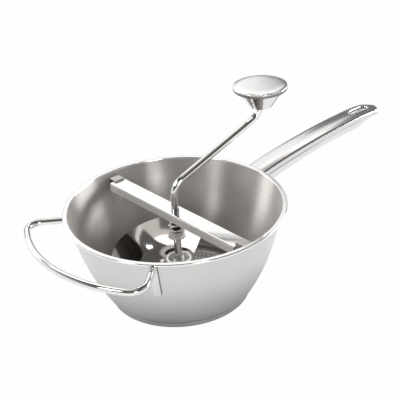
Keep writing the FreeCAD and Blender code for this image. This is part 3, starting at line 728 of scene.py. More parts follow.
OUTSIDE = Steel(
    "bowl_outside_satin", (0.74, 0.73, 0.72), (0.68, 0.67, 0.655), 0.34, 0.05, 0.08, anisotropy=0.4
)
# Painted shade: a dark finish laid where shade falls, in the bowl's step, along the handle's seam, in the
# slot, on the feet's edges and under the knob's rim.
PAINTED_SHADE = Steel("bowl_painted_shade", (0.3, 0.29, 0.28), (0.2, 0.19, 0.18), 0.45, 0.08, 0.08)
INSIDE = Steel(
    "bowl_inside_brushed", (0.88, 0.855, 0.825), (0.66, 0.63, 0.595), 0.42, 0.06, 0.1,
    grain_per_mm=0.9, anisotropy=0.97, line_weight=0.7, metal=0.62,
)
RIM = Steel("rim_polished", (0.92, 0.915, 0.91), (0.87, 0.865, 0.86), 0.14, 0.05, 0.05, grain_depth_um=0.8)
SIEVE = Steel(
    "sieve_bright", (0.97, 0.955, 0.94), (0.9, 0.885, 0.87), 0.55, 0.1, 0.1, anisotropy=0.3, metal=0.15
)
BAR = Steel("bar_bright", (0.9, 0.895, 0.885), (0.84, 0.83, 0.82), 0.09, 0.04, 0.04, Grain.ALONG_Y, 0.9, 0.6)
FLANGE = Steel(
    "bar_flange_satin", (0.9, 0.89, 0.875), (0.82, 0.81, 0.795), 0.3, 0.05, 0.05,
    Grain.ALONG_Y, 0.9, 0.6, metal=0.4,
)
# Painted shade: a dark finish for the inside of the bar's channel.
SHADED_UNDERSIDE = Steel(
    "bar_underside_painted_shade", (0.3, 0.29, 0.28), (0.22, 0.21, 0.2), 0.4, 0.08, 0.08, Grain.ALONG_Y, 0.9, 0.8
)
BRACKET = Steel("bracket_bright", (0.6, 0.58, 0.555), (0.5, 0.48, 0.46), 0.24, 0.1, 0.08, grain_depth_um=2.0)
FOOT = Steel("foot_satin", (0.8, 0.79, 0.78), (0.72, 0.71, 0.7), 0.24, 0.08, 0.08, grain_depth_um=2.0)
SPRING = Steel(
    "spring_drawn", (0.92, 0.91, 0.9), (0.82, 0.81, 0.8), 0.25, 0.05, 0.05, grain_depth_um=0.3, metal=0.7
)
# Painted shade: a near-black finish for the shaft inside the spring.
SHADED_SHAFT = Steel("shaft_painted_shade", (0.1, 0.095, 0.09), (0.06, 0.058, 0.055), 0.4, 0.08, 0.08, grain_depth_um=1.0)
ROD = Steel(
    "rod_polished", (0.88, 0.875, 0.87), (0.8, 0.79, 0.785), 0.06, 0.03, 0.04, Grain.ALONG_X, 0.8, 0.4
)
BLADE = Steel("blade_mirror", (0.84, 0.83, 0.82), (0.78, 0.77, 0.755), 0.05, 0.03, 0.03, grain_depth_um=0.2)
HUB = Steel(
    "hub_turned", (0.94, 0.935, 0.925), (0.88, 0.875, 0.865), 0.16, 0.04, 0.06, grain_depth_um=0.6, metal=0.65
)
KNOB_TOP = Steel(
    "knob_top_turned", (0.93, 0.925, 0.92), (0.88, 0.875, 0.87), 0.22, 0.03, 0.03,
    anisotropy=0.3, grain_depth_um=0.3, centre=KNOB_AXIS,
)
KNOB_CONE = Steel(
    "knob_cone_polished", (0.88, 0.875, 0.87), (0.8, 0.79, 0.785), 0.06, 0.04, 0.04,
    grain_depth_um=0.5, centre=KNOB_AXIS,
)
HANDLE = Steel(
    "handle_satin", (0.8, 0.795, 0.79), (0.73, 0.725, 0.72), 0.17, 0.03, 0.04, Grain.ALONG_X, 1.0, 0.12
)
LINING = Steel(
    "slot_lining", (0.97, 0.965, 0.96), (0.94, 0.935, 0.93), 0.12, 0.02, 0.02, grain_depth_um=0.02
)
SEAM = Steel(
    "handle_polished", (0.84, 0.835, 0.83), (0.77, 0.765, 0.76), 0.12, 0.05, 0.05, Grain.ALONG_X, 1.0, 0.8
)


# Pieces


def new_mesh(name: str, surface: Surface, merge: float) -> bpy.types.Mesh:
    """A mesh of a surface, with meeting points merged and its faces turned outwards.

    Args:
        name: The mesh's name.
        surface: Its surface.
        merge: Points nearer than this become one, in metres.

    Returns:
        The mesh, with each face's zone as its material's number.
    """
    mesh = bpy.data.meshes.new(name)
    faces = [face for block in surface.blocks for face in block.tolist()]
    mesh.from_pydata((surface.points * MM).tolist(), [], faces)
    mesh.polygons.foreach_set("material_index", np.concatenate(surface.zones))
    shell = bmesh.new()
    shell.from_mesh(mesh)
    bmesh.ops.remove_doubles(shell, verts=shell.verts, dist=merge)
    bmesh.ops.recalc_face_normals(shell, faces=shell.faces)
    shell.to_mesh(mesh)
    shell.free()
    return mesh


class Workshop:
    """Turns surfaces into pieces that ride on the frame's bodies."""

    def __init__(self) -> None:
        """Starts with no pieces."""
        self.made: List[bpy.types.Object] = []

    def add(
        self,
        name: str,
        surface: Surface,
        finishes: Sequence[Steel],
        body: Body,
        slot: Slot,
        nodes: Sequence[str],
        crease_deg: float = 38.0,
    ) -> bpy.types.Object:
        """One piece: merged, facing outwards, smooth between its creases.

        Args:
            name: The piece's name.
            surface: Its surface.
            finishes: A finish for each zone.
            body: The body that it rides on.
            slot: Not used.
            nodes: The nodes that it stands for.
            crease_deg: Edges sharper than this stay sharp.

        Returns:
            The piece.
        """
        mesh = new_mesh(name, surface, 3 * MICRON)
        mesh.shade_smooth()
        mesh.set_sharp_from_angle(angle=math.radians(crease_deg))
        for finish in finishes:
            mesh.materials.append(finish.material())
        piece = bpy.data.objects.new(name, mesh)
        bpy.context.scene.collection.objects.link(piece)
        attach(piece, body.value)
        if nodes:
            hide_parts(*nodes)
        self.made.append(piece)
        stands_for = ", ".join(nodes) or "trim"
        LOG.info("%s: %d faces on %s for %s", name, len(mesh.polygons), body.value, stands_for)
        return piece

    def keep(self, node: str, finish: Steel) -> None:
        """Gives a solid that stays in view its finish.

        Args:
            node: The solid's node.
            finish: Its finish.
        """
        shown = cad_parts[node]
        shown = shown if isinstance(shown, bpy.types.Object) else bpy.data.objects[node]
        shown.data.materials.clear()
        shown.data.materials.append(finish.material())
        LOG.info("%s: kept, with finish %s", node, finish.name)


@dataclass
class Assembly:
    """A sub-assembly whose pieces are made in one workshop."""

    shop: Workshop


@dataclass
class Bowl(Assembly):
    """The pressed bowl, its brackets for the bar and the sieve in its base."""

    flange_r: float = 104.5
    flange_low_z: float = 88.8
    base_r: float = 66.4
    collar_h: float = 5.0
    shade_band_low_z: float = 4.3
    shoulder_r: float = 69.2
    shoulder_z: float = 6.9
    collar_in_r: float = 65.4
    lip_t: float = 1.0
    outlet_r: float = 59.0
    bracket_w: float = 11.0
    bracket_t: float = 1.5
    bracket_gap: float = 0.1
    bracket_low_z: float = 61.38
    bracket_bend_z: float = 83.4
    tongue_from_z: float = 80.0
    tongue_mid_z: float = 86.63
    tongue_reach_r: float = 85.32
    tongue_w: float = 10.5
    bracket_turn_deg: float = 1.0
    weld_z: float = 64.6
    weld_side: float = 2.4
    sieve_r: float = 65.05
    plate_r: float = 57.95
    plate_top_z: float = 8.0
    plate_t: float = 0.8
    riser_foot_r: float = 59.75
    bush_r: float = 4.2
    bush_in_r: float = 3.35
    bush_flange_r: float = 7.0
    bush_low_z: float = 2.85
    hole_r: float = 1.15
    hole_pitch: float = 4.3
    first_hole_r: float = 9.8
    hole_margin: float = 3.0
    hole_corners: int = 12
    turn_steps: int = 180

    def shell(self) -> None:
        """The bowl: a closed outline of wall, rim flange and base, carried round the axis."""
        top_z, under_z = WALL.rim_z, WALL.rim_z - WALL.sheet
        inside = WALL.line(WALL.foot_z, under_z, 0.0, 48)
        outside = WALL.line(WALL.foot_z + 0.6, under_z - 0.8, WALL.sheet, 48)[::-1]
        hem_r = self.flange_r - WALL.sheet
        rim = rounded(
            [inside[-1], (WALL.rim_r, top_z), (self.flange_r, top_z), (self.flange_r, self.flange_low_z),
             (hem_r, self.flange_low_z), (hem_r, under_z), (float(WALL.radius(under_z, WALL.sheet)), under_z),
             outside[0]],
            [0, 0.7, 0.9, 0.45, 0.3, 0.4, 0.6, 0], 7, closed=False,
        )
        base = rounded(
            [outside[-1], (self.shoulder_r, self.shoulder_z), (self.base_r, self.collar_h),
             (self.base_r, self.shade_band_low_z), (self.base_r, 0.0), (self.outlet_r, 0.0),
             (self.outlet_r, self.lip_t), (self.collar_in_r, self.lip_t), (self.collar_in_r, self.collar_h),
             inside[0]],
            [0, 0.5, 0.3, 0, 0.45, 0.3, 0.3, 0.6, 1.0, 0], 6, closed=False,
        )
        rim = supported(rim, 0.2, closed=False)
        base = supported(base, 0.2, closed=False)
        outline = np.concatenate([inside[:-1], rim[:-1], outside[:-1], base[:-1]])
        r, z = ((base[1:] + base[:-1]) / 2).T
        # Painted shade: the step where the wall meets the foot collar gets the dark finish.
        is_painted_shade = (r > self.base_r - 0.5) & (r < self.shoulder_r + 0.1) & (z > self.shade_band_low_z)
        zones = np.repeat([0, 1, 2], [len(inside) - 1, len(rim) - 1, len(outside) - 1])
        zones = np.concatenate([zones, np.where(is_painted_shade, 3, 2)])
        surface = revolve(outline, self.turn_steps, zones)
        self.shop.add("bowl_shell", surface, (INSIDE, RIM, OUTSIDE, PAINTED_SHADE), Body.BOWL, Slot.BOWL, ["bowl"])

    def brackets(self) -> None:
        """Two strips up the wall, each bent inwards to a tongue, with two pressed spot welds."""
        offset = -self.bracket_gap - self.bracket_t / 2
        wall = WALL.line(self.bracket_low_z, self.bracket_bend_z, offset, 18)
        bend = rounded(
            [wall[-1], (float(WALL.radius(self.tongue_mid_z, offset)), self.tongue_mid_z),
             (self.tongue_reach_r, self.tongue_mid_z)], [0, 1.6, 0], 9, closed=False,
        )
        path = np.concatenate([wall[:-1], bend])
        width = np.where(path[:, 1] < self.tongue_from_z, self.bracket_w, self.tongue_w)
        for name, heading in (("far", 90.0 - self.bracket_turn_deg), ("near", self.bracket_turn_deg - 90.0)):
            surface = strap(path, width, self.bracket_t, 0.4, heading)
            for side in (-self.weld_side, self.weld_side):
                surface = surface + self._spot_weld(side, offset - self.bracket_t / 2, heading)
            node = "bar_bracket_" + name
            self.shop.add("bar_bracket_strip_" + name, surface, (BRACKET,), Body.BOWL, Slot.BOWL, [node])

    def _spot_weld(self, side: float, offset: float, heading: float) -> Surface:
        """A shallow pressed ring on a strip.

        A small closed ring outline is turned about its own axis, laid against the wall's slope and
        carried to its place.

        Args:
            side: Distance along the wall from the strip's middle.
            offset: Offset of the strip's face from the wall's inside.
            heading: Direction of the strip round the bowl's axis.

        Returns:
            The ring's surface.
        """
        outline = rounded([(0.5, -0.2), (1.5, -0.2), (1.4, 0.14), (0.9, 0.14)], [0, 0, 0.1, 0.1], 4)
        ring = revolve(outline, 20)
        here, above = WALL.radius([self.weld_z, self.weld_z + 1.0], offset).tolist()
        lean = math.atan2(above - here, 1.0)
        inward = np.array([-math.cos(lean), 0.0, math.sin(lean)])
        upward = np.array([math.sin(lean), 0.0, math.cos(lean)])
        basis = np.stack([np.cross(upward, inward), upward, inward])
        placed = Surface(ring.points @ basis, ring.blocks, ring.zones).moved((here, 0.0, self.weld_z))
        return placed.turned(heading + math.degrees(side / here))

    def sieve(self) -> None:
        """The sieve: a flat plate with staggered round holes, a riser and a rim on the bowl's lip."""
        row = self.hole_pitch * math.sqrt(3) / 2
        count = int(self.plate_r / row) + 1
        i, j = np.meshgrid(np.arange(-count, count + 1), np.arange(-count, count + 1), indexing="ij")
        centres = np.stack([(j + 0.5 * (i % 2)) * self.hole_pitch, i * row], axis=-1).reshape(-1, 2)
        away = np.linalg.norm(centres, axis=1)
        centres = centres[(away > self.first_hole_r) & (away < self.plate_r - self.hole_margin)]
        angle = np.linspace(0, 2 * math.pi, self.hole_corners, endpoint=False)
        circle = np.stack([np.cos(angle), np.sin(angle)], axis=-1)
        loops = list(centres[:, None] + self.hole_r * circle)
        many = np.linspace(0, 2 * math.pi, self.turn_steps, endpoint=False)
        ring = np.stack([np.cos(many), np.sin(many)], axis=-1)
        loops.append(self.bush_r * ring[::5])
        edge = self.plate_r * ring
        flat, triangles, bound = pierced_disc(edge, loops, self.hole_r * 0.999, self.bush_r - 0.01)
        top = np.column_stack([flat, np.full(len(flat), self.plate_top_z)])
        low = top - np.array([0.0, 0.0, self.plate_t])
        walls = np.column_stack([bound[:, ::-1], bound + len(flat)])
        points = np.concatenate([top, low])
        plate = Surface.of(points, triangles) + Surface.of(points, triangles[:, ::-1] + len(flat))
        plate = plate + Surface.of(points, walls)
        high_z, low_z = self.plate_top_z, self.plate_top_z - self.plate_t
        seat_z, rim_z = self.lip_t, self.lip_t + self.plate_t
        outline = rounded(
            [(self.plate_r, high_z), (self.plate_r + 0.4, high_z), (self.riser_foot_r, rim_z),
             (self.sieve_r, rim_z), (self.sieve_r, seat_z), (self.riser_foot_r - 0.55, seat_z),
             (self.plate_r - 0.15, low_z), (self.plate_r, low_z)],
            [0, 0.35, 0.8, 0.3, 0.3, 0.8, 0, 0], 6, closed=False,
        )
        rim = revolve(outline, self.turn_steps, closed=False)
        self.shop.add("sieve_plate", plate + rim, (SIEVE,), Body.BOWL, Slot.SIEVE, ["sieve_disc"], 30.0)
        flange_t = self.bush_r - self.bush_in_r
        bush = rounded(
            [(self.bush_in_r, self.bush_low_z), (self.bush_r, self.bush_low_z),
             (self.bush_r, low_z - flange_t), (self.bush_flange_r, low_z - flange_t),
             (self.bush_flange_r, low_z), (self.bush_r, low_z),
             (self.bush_r, high_z), (self.bush_r + flange_t, high_z),
             (self.bush_r + flange_t, high_z + flange_t), (self.bush_in_r, high_z + flange_t)],
            [0.2, 0.2, 0, 0.2, 0.2, 0, 0, 0.2, 0.4, 0.3], 4,
        )
        self.shop.add("sieve_eyelet", revolve(bush, 48), (SIEVE,), Body.BOWL, Slot.SIEVE, ["sieve_bush"])

    def build(self) -> None:
        """Makes every piece of the bowl."""
        self.shell()
        self.brackets()
        self.sieve()


@dataclass
class LongHandle(Assembly):
    """The hollow long handle of two pressed shells, its hanging slot and its plate on the wall."""

    start_x: float = 105.1
    length: float = 178.0
    half_w: float = 12.0
    root_z: float = 89.3
    rise: float = 11.3
    peak: float = 0.8
    tip_drop: float = 2.5
    depth: float = 19.0
    tip_depth: float = 5.5
    waist: float = 0.5
    waist_depth: float = 16.0
    sheet: float = 1.0
    seam: float = 5.5
    nest: float = 2.0
    nest_gap: float = 0.1
    seam_band: float = 2.0
    corner_r: float = 2.5
    crown: float = 0.8
    belly_r: float = 8.0
    slot_from_tip: float = 25.5
    slot_len: float = 25.0
    slot_w: float = 9.4
    slot_shade: float = 2.5
    plate_low_z: float = 66.0
    plate_high_z: float = 88.2
    plate_w: float = 30.0
    plate_t: float = 2.0

    def stations(self) -> Array:
        """Places of the handle's sections.

        Returns:
            Distances along the handle, closer at the slot's ends and at the tip.
        """
        slot_x = self.start_x + self.length - self.slot_from_tip
        low, high = slot_x - self.slot_len / 2, slot_x + self.slot_len / 2
        tip = self.start_x + self.length
        wave = 0.5 - 0.5 * np.cos(np.linspace(0, math.pi, 41))
        late = np.sin(np.linspace(0, math.pi / 2, 30))
        runs = [np.linspace(self.start_x, low, 60), low + (high - low) * wave,
                np.linspace(high, tip - self.half_w, 6), tip - self.half_w + self.half_w * late]
        return np.unique(np.round(np.concatenate(runs), 6))

    def top_z(self, x: Array) -> Array:
        """Height of the handle's top: a parabola up to the peak, then a faster one down to the tip.

        Args:
            x: Distances along the handle.

        Returns:
            The heights.
        """
        share = (x - self.start_x) / self.length
        arch = self.rise * (1 - (1 - share / self.peak) ** 2)
        fall = self.rise - self.tip_drop * ((share - self.peak) / (1 - self.peak)) ** 2
        return self.root_z + np.where(share <= self.peak, arch, fall)

    def plan(self, x: Array) -> Array:
        """Half width of the handle: steady, then a circle at the tip."""
        past = np.maximum(x - (self.start_x + self.length - self.half_w), 0.0)
        return np.sqrt(np.maximum(self.half_w ** 2 - past ** 2, 0.0))

    def full_depth(self, x: Array) -> Array:
        """Depth of the handle: less from the root to the waist, and much less from the peak to the tip.

        Args:
            x: Distances along the handle.

        Returns:
            The depths.
        """
        share = (x - self.start_x) / self.length
        depths = [self.depth, self.waist_depth, self.waist_depth, self.tip_depth]
        return np.interp(share, [0.0, self.waist, self.peak, 1.0], depths)

    def opening(self, x: Array) -> Array:
        """Half width of the hanging slot: a straight run with two round ends.

        Args:
            x: Distances along the handle.

        Returns:
            The half widths, zero away from the slot.
        """
        slot_x = self.start_x + self.length - self.slot_from_tip
        radius = self.slot_w / 2
        past = np.maximum(np.abs(x - slot_x) - (self.slot_len / 2 - radius), 0.0)
        return np.where(past < radius, np.sqrt(np.maximum(radius ** 2 - past ** 2, 0.0)), 0.0)

    def _section(self, x: Array, inset: float, corner: float, top: Array, low: Array, crown: float) -> Array:
        """Points across half of a shell, from the middle to its free edge.

        A flat run with a slight crown, a quarter circle and a straight side.

        Args:
            x: Distances along the handle.
            inset: How far the section lies inside the handle's plan.
            corner: Radius of the corner.
            top: Height of the flat run.
            low: Height of the free edge.
            crown: Rise of the flat run in the middle.

        Returns:
            Array of (station, column, 3).
        """
        scale = (self.half_w - inset) / self.half_w
        half = np.maximum(self.plan(x) * scale, 1e-3)[:, None]
        place = (self.start_x + (x - self.start_x) * (self.length - inset) / self.length)[:, None]
        corner = np.minimum(corner, 0.65 * half)
        flat = half - corner
        gap = np.minimum(self.opening(x)[:, None], flat)
        share = np.linspace(0.0, 1.0, 12)[None]
        angle = np.linspace(0.0, math.pi / 2, 9)[None, 1:]
        sign = np.sign(top - low)[:, None]
        run_y = gap + (flat - gap) * share
        run_z = top[:, None] + crown * half / self.half_w * (1 - (run_y / flat) ** 2)
        turn_y = flat + corner * np.sin(angle)
        turn_z = top[:, None] - sign * corner * (1 - np.cos(angle))
        reach = low[:, None] - turn_z[:, -1:]
        band = np.sign(reach) * np.minimum(self.nest + self.seam_band, 0.6 * np.abs(reach))
        falls = [0.5 * (reach - band), reach - band, reach - 0.5 * band, reach]
        side_z = turn_z[:, -1:] + np.concatenate(falls, axis=1)
        y = np.concatenate([run_y, turn_y, half + 0 * side_z], axis=1)
        z = np.concatenate([run_z, turn_z, side_z], axis=1)
        return np.stack([place + 0 * y, y, z], axis=-1)

    def shells(self) -> None:
        """The two pressings, the lower one nested in the upper one along the seam."""
        x = self.stations()
        top = self.top_z(x)
        gap = self.opening(x)
        seam = top - self.seam
        outer = self._section(x, 0.0, self.corner_r, top, seam, self.crown)
        inner = self._section(x, self.sheet, self.corner_r - self.sheet, top - self.sheet, seam, self.crown)
        surface = mirrored_shell(outer, inner, gap, 1)
        node = "handle_top_shell"
        self.shop.add("handle_upper_pressing", surface, (HANDLE,), Body.BOWL, Slot.HANDLE, [node])
        low = top - self.full_depth(x)
        high = seam + self.nest
        inset = self.sheet + self.nest_gap
        outer = self._section(x, inset, self.belly_r, low, high, 0.0)
        inner = self._section(x, inset + self.sheet, self.belly_r - self.sheet, low + self.sheet, high, 0.0)
        # Painted shade: the lower pressing's band just under the seam takes the dark finish.
        zones = np.zeros(outer.shape[1] - 1, int)
        zones[-2:] = 1
        surface = mirrored_shell(outer, inner, gap, 1, zones)
        node = "handle_bottom_shell"
        self.shop.add("handle_lower_pressing", surface, (SEAM, PAINTED_SHADE), Body.BOWL, Slot.HANDLE, [node])

    def slot_liner(self) -> None:
        """The slot's lining: a lipped outline carried round the slot, following the handle's arch."""
        radius = self.slot_w / 2
        half = self.slot_len / 2 - radius
        centre = self.start_x + self.length - self.slot_from_tip
        end = half + radius
        corners = [(-end, -radius), (end, -radius), (end, radius), (-end, radius)]
        path = spread(rounded(corners, radius - 1e-4, 16), 1.0)
        out = unit(np.column_stack([path[:, 0] - np.clip(path[:, 0], -half, half), path[:, 1]]))
        foot = -self.depth
        lip = rounded(
            [(1.6, -0.05), (1.0, 0.34), (0.0, 0.34), (-0.45, -0.5), (-0.45, -self.slot_shade), (-0.45, foot),
             (0.0, foot), (0.1, -0.4)],
            [0, 0.6, 0.5, 0.4, 0, 0, 0, 0], 6,
        )
        is_low = lip[:, 1] <= foot
        run_z = (lip[:, 1] + np.roll(lip[:, 1], -1)) / 2
        # Painted shade: the lining's wall just under the lip takes the dark finish.
        is_shaded = (lip[:, 0] < -0.4) & (run_z > -self.slot_shade) & (run_z < -0.5)
        x = centre + path[:, 0]
        y_crown = self.crown * (1 - (path[:, 1] / (self.half_w - self.corner_r)) ** 2)
        top = (self.top_z(x) + y_crown)[:, None]
        bottom = (self.top_z(x) - self.full_depth(x))[:, None]
        plan = path[:, None] + out[:, None] * lip[None, :, :1]
        z = np.where(is_low[None], bottom + 0.1, top + lip[None, :, 1])
        points = np.concatenate([plan + np.array([centre, 0.0]), z[:, :, None]], axis=-1)
        zones = np.tile(is_shaded.astype(int), len(path))
        surface = Surface.of(points, grid_faces(len(path), len(lip), True, True), zones)
        self.shop.add("hanging_slot_lining", surface, (LINING, PAINTED_SHADE), Body.BOWL, Slot.HANDLE, [])

    def wall_plate(self) -> None:
        """The plate that carries the handle on the wall."""
        path = WALL.line(self.plate_low_z, self.plate_high_z, WALL.sheet + self.plate_t / 2, 14)
        surface = strap(path, self.plate_w, self.plate_t, 0.5, 0.0)
        self.shop.add("handle_wall_plate", surface, (FOOT,), Body.BOWL, Slot.BOWL, ["handle_weld_plate"])
        self.shop.keep("handle_root", FOOT)

    def build(self) -> None:
        """Makes every piece of the long handle."""
        self.shells()
        self.slot_liner()
        self.wall_plate()


@dataclass
class WireHandle(Assembly):
    """The bent rod opposite the long handle and its two flat feet."""

    rod_r: float = 3.25
    arc_r: float = 137.5
    corner_r: float = 14.0
    leg_deg: float = 141.5
    z: float = 84.0
    weld: float = 0.2
    foot_w: float = 7.5
    foot_t: float = 2.2
    foot_low_z: float = 52.05
    foot_high_z: float = 87.25

    def rod(self) -> None:
        """The rod: leg, corner, arc round the bowl, corner and leg in one level plane."""
        reach = self.arc_r - self.corner_r
        turn = math.asin(self.corner_r / reach)
        leave_r = math.sqrt(reach ** 2 - self.corner_r ** 2)
        leg = math.radians(self.leg_deg)
        start_r = float(WALL.radius(self.z, WALL.sheet + self.foot_t)) - self.weld
        centre = reach * np.array([math.cos(leg + turn), math.sin(leg + turn)])
        leave = leave_r * np.array([math.cos(leg), math.sin(leg)])
        meet = self.arc_r * np.array([math.cos(leg + turn), math.sin(leg + turn)])
        sweep = math.acos(float(np.dot(leave - centre, meet - centre)) / self.corner_r ** 2)
        share = np.linspace(0, 1, 22)[:, None]
        bend = np.sin((1 - share) * sweep) * (leave - centre) + np.sin(share * sweep) * (meet - centre)
        corner = centre + bend / math.sin(sweep)
        run = np.linspace(leg + turn, math.pi, 40)[1:, None]
        arc = self.arc_r * np.concatenate([np.cos(run), np.sin(run)], axis=1)
        straight = np.linspace(start_r, leave_r, 8)[:-1, None] * np.array([math.cos(leg), math.sin(leg)])
        half = np.concatenate([straight, corner, arc])
        plan = np.concatenate([half, (half * np.array([1.0, -1.0]))[-2::-1]])
        path = np.column_stack([plan, np.full(len(plan), self.z)])
        surface = tube(path, (0.0, 0.0, 1.0), self.rod_r, 28, 0.1)
        self.shop.add("wire_handle_rod", surface, (ROD,), Body.BOWL, Slot.ROD, ["wire_handle"])

    def feet(self) -> None:
        """The flat feet down the wall."""
        path = WALL.line(self.foot_low_z, self.foot_high_z, WALL.sheet + self.foot_t / 2, 16)
        for name, heading in (("far", self.leg_deg), ("near", -self.leg_deg)):
            # Painted shade: the feet's long edges take the dark finish.
            surface = strap(path, self.foot_w, self.foot_t, 0.45, heading, 1)
            node = "wire_foot_" + name
            self.shop.add("wire_handle_foot_" + name, surface, (FOOT, PAINTED_SHADE), Body.BOWL, Slot.BOWL, [node])

    def build(self) -> None:
        """Makes every piece of the wire handle."""
        self.rod()
        self.feet()


@dataclass
class SprungBar(Assembly):
    """The channel across the bowl, the spring in it and the spring's seats."""

    top_z: float = 85.8
    depth: float = 8.0
    half_w: float = 8.9
    sheet: float = 1.0
    bend_r: float = 1.6
    half_len: float = 88.32
    hole_r: float = 3.85
    spring_low_z: float = 58.6
    spring_top_z: float = 83.8
    wire_r: float = 0.95
    coil_r: float = 6.7
    active_turns: float = 3.5
    end_turns: float = 0.75
    end_pitch: float = 2.5
    seat_t: float = 1.0
    seat_top_r: float = 7.65
    seat_low_r: float = 8.35
    press: float = 4.0
    lift: float = 3.0

    def channel(self) -> None:
        """The bar: a channel open below, with a round hole for the shaft in its middle.

        A flat run, a quarter circle and a straight side are carried along Y. The run starts at the hole's
        edge, which lies the root of hole_r ** 2 - y ** 2 from the middle line.
        """
        wave = 0.5 - 0.5 * np.cos(np.linspace(0, math.pi, 33))
        runs = [np.linspace(-self.half_len, -self.hole_r, 24), self.hole_r * (2 * wave - 1),
                np.linspace(self.hole_r, self.half_len, 24)]
        y = np.unique(np.round(np.concatenate(runs), 6))
        gap = np.sqrt(np.maximum(self.hole_r ** 2 - y ** 2, 0.0))
        low = self.top_z - self.depth
        fall = np.array([[0.05, 0.3, 0.6, 0.95, 1.0]])
        level = 0 * gap[:, None]

        def half(inset: float) -> Array:
            """Points across half of the channel, from the hole's edge to the free edge.

            Args:
                inset: How far they lie inside the bar.

            Returns:
                Array of (station, column, 3).
            """
            side, top, bend = self.half_w - inset, self.top_z - inset, self.bend_r - inset
            share = np.concatenate([np.linspace(0, 0.9, 8), [0.97, 1.0]])[None]
            angle = np.linspace(0, math.pi / 2, 9)[None, 1:]
            run_x = gap[:, None] + (side - bend - gap[:, None]) * share
            turn_x, turn_z = side - bend + bend * np.sin(angle), top - bend * (1 - np.cos(angle))
            side_z = top - bend + (low - top + bend) * fall
            x = np.concatenate([run_x, turn_x + level, side + 0 * fall + level], axis=1)
            z = np.concatenate([top + 0 * run_x, turn_z + level, side_z + level], axis=1)
            return np.stack([x, y[:, None] + 0 * x, z], axis=-1)

        outer = half(0.0)
        zones = np.zeros(outer.shape[1] - 1, int)
        zones[-fall.size:] = 2
        # Painted shade: the channel's inside takes the dark finish.
        surface = mirrored_shell(outer, half(self.sheet), gap, 0, zones, inside=1)
        self.shop.add("bar_channel", surface, (BAR, SHADED_UNDERSIDE, FLANGE), Body.BAR, Slot.BAR, ["crossbar"])

    def spring(self) -> None:
        """The spring: a wire on a helix that is wound closer at both ends.

        It is made in two halves that meet in its middle, the upper one on the bar and the lower one on the
        shaft.
        """
        total = self.active_turns + 2 * self.end_turns
        turns = np.linspace(0.0, total, 521)
        low, high = self.spring_low_z + self.wire_r, self.spring_top_z - self.wire_r
        end_rise = self.end_turns * self.end_pitch
        z = np.interp(turns, [0.0, self.end_turns, total - self.end_turns, total],
                      [low, low + end_rise, high - end_rise, high])
        angle = 2 * math.pi * turns
        out = np.stack([np.cos(angle), np.sin(angle), 0 * angle], axis=-1)
        path = self.coil_r * out + np.stack([0 * z, 0 * z, z], axis=-1)
        length = (self.spring_top_z - self.spring_low_z) / 2
        half = len(turns) // 2
        for name, part, body, joint, end_z, travel in (
            ("upper", slice(half, None), Body.BAR, "bar_press", self.spring_top_z, self.press),
            ("lower", slice(None, half + 1), Body.SHAFT, "shaft_lift", self.spring_low_z, self.lift),
        ):
            surface = tube(path[part], out[part], self.wire_r, 12, 0.05)
            piece = self.shop.add(
                "pressure_spring_" + name, surface, (SPRING,), body, Slot.SPRING, ["pressure_spring"]
            )
            end_z * MM
            (length - travel) / length
            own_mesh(piece)

    def seats(self) -> None:
        """The spring's two washers."""
        high, low = self.spring_top_z, self.spring_low_z
        upper = washer(self.hole_r, self.seat_top_r, high, high + self.seat_t, 0.25, 4, 64)
        self.shop.add("spring_seat_upper", upper, (SPRING,), Body.BAR, Slot.SPRING, ["spring_washer_upper"])
        lower = washer(self.hole_r, self.seat_low_r, low - self.seat_t, low, 0.3, 5, 64)
        self.shop.add("spring_seat_lower", lower, (SPRING,), Body.SHAFT, Slot.SPRING, ["spring_washer_lower"])

    def build(self) -> None:
        """Makes every piece of the bar."""
        self.channel()
        self.spring()
        self.seats()


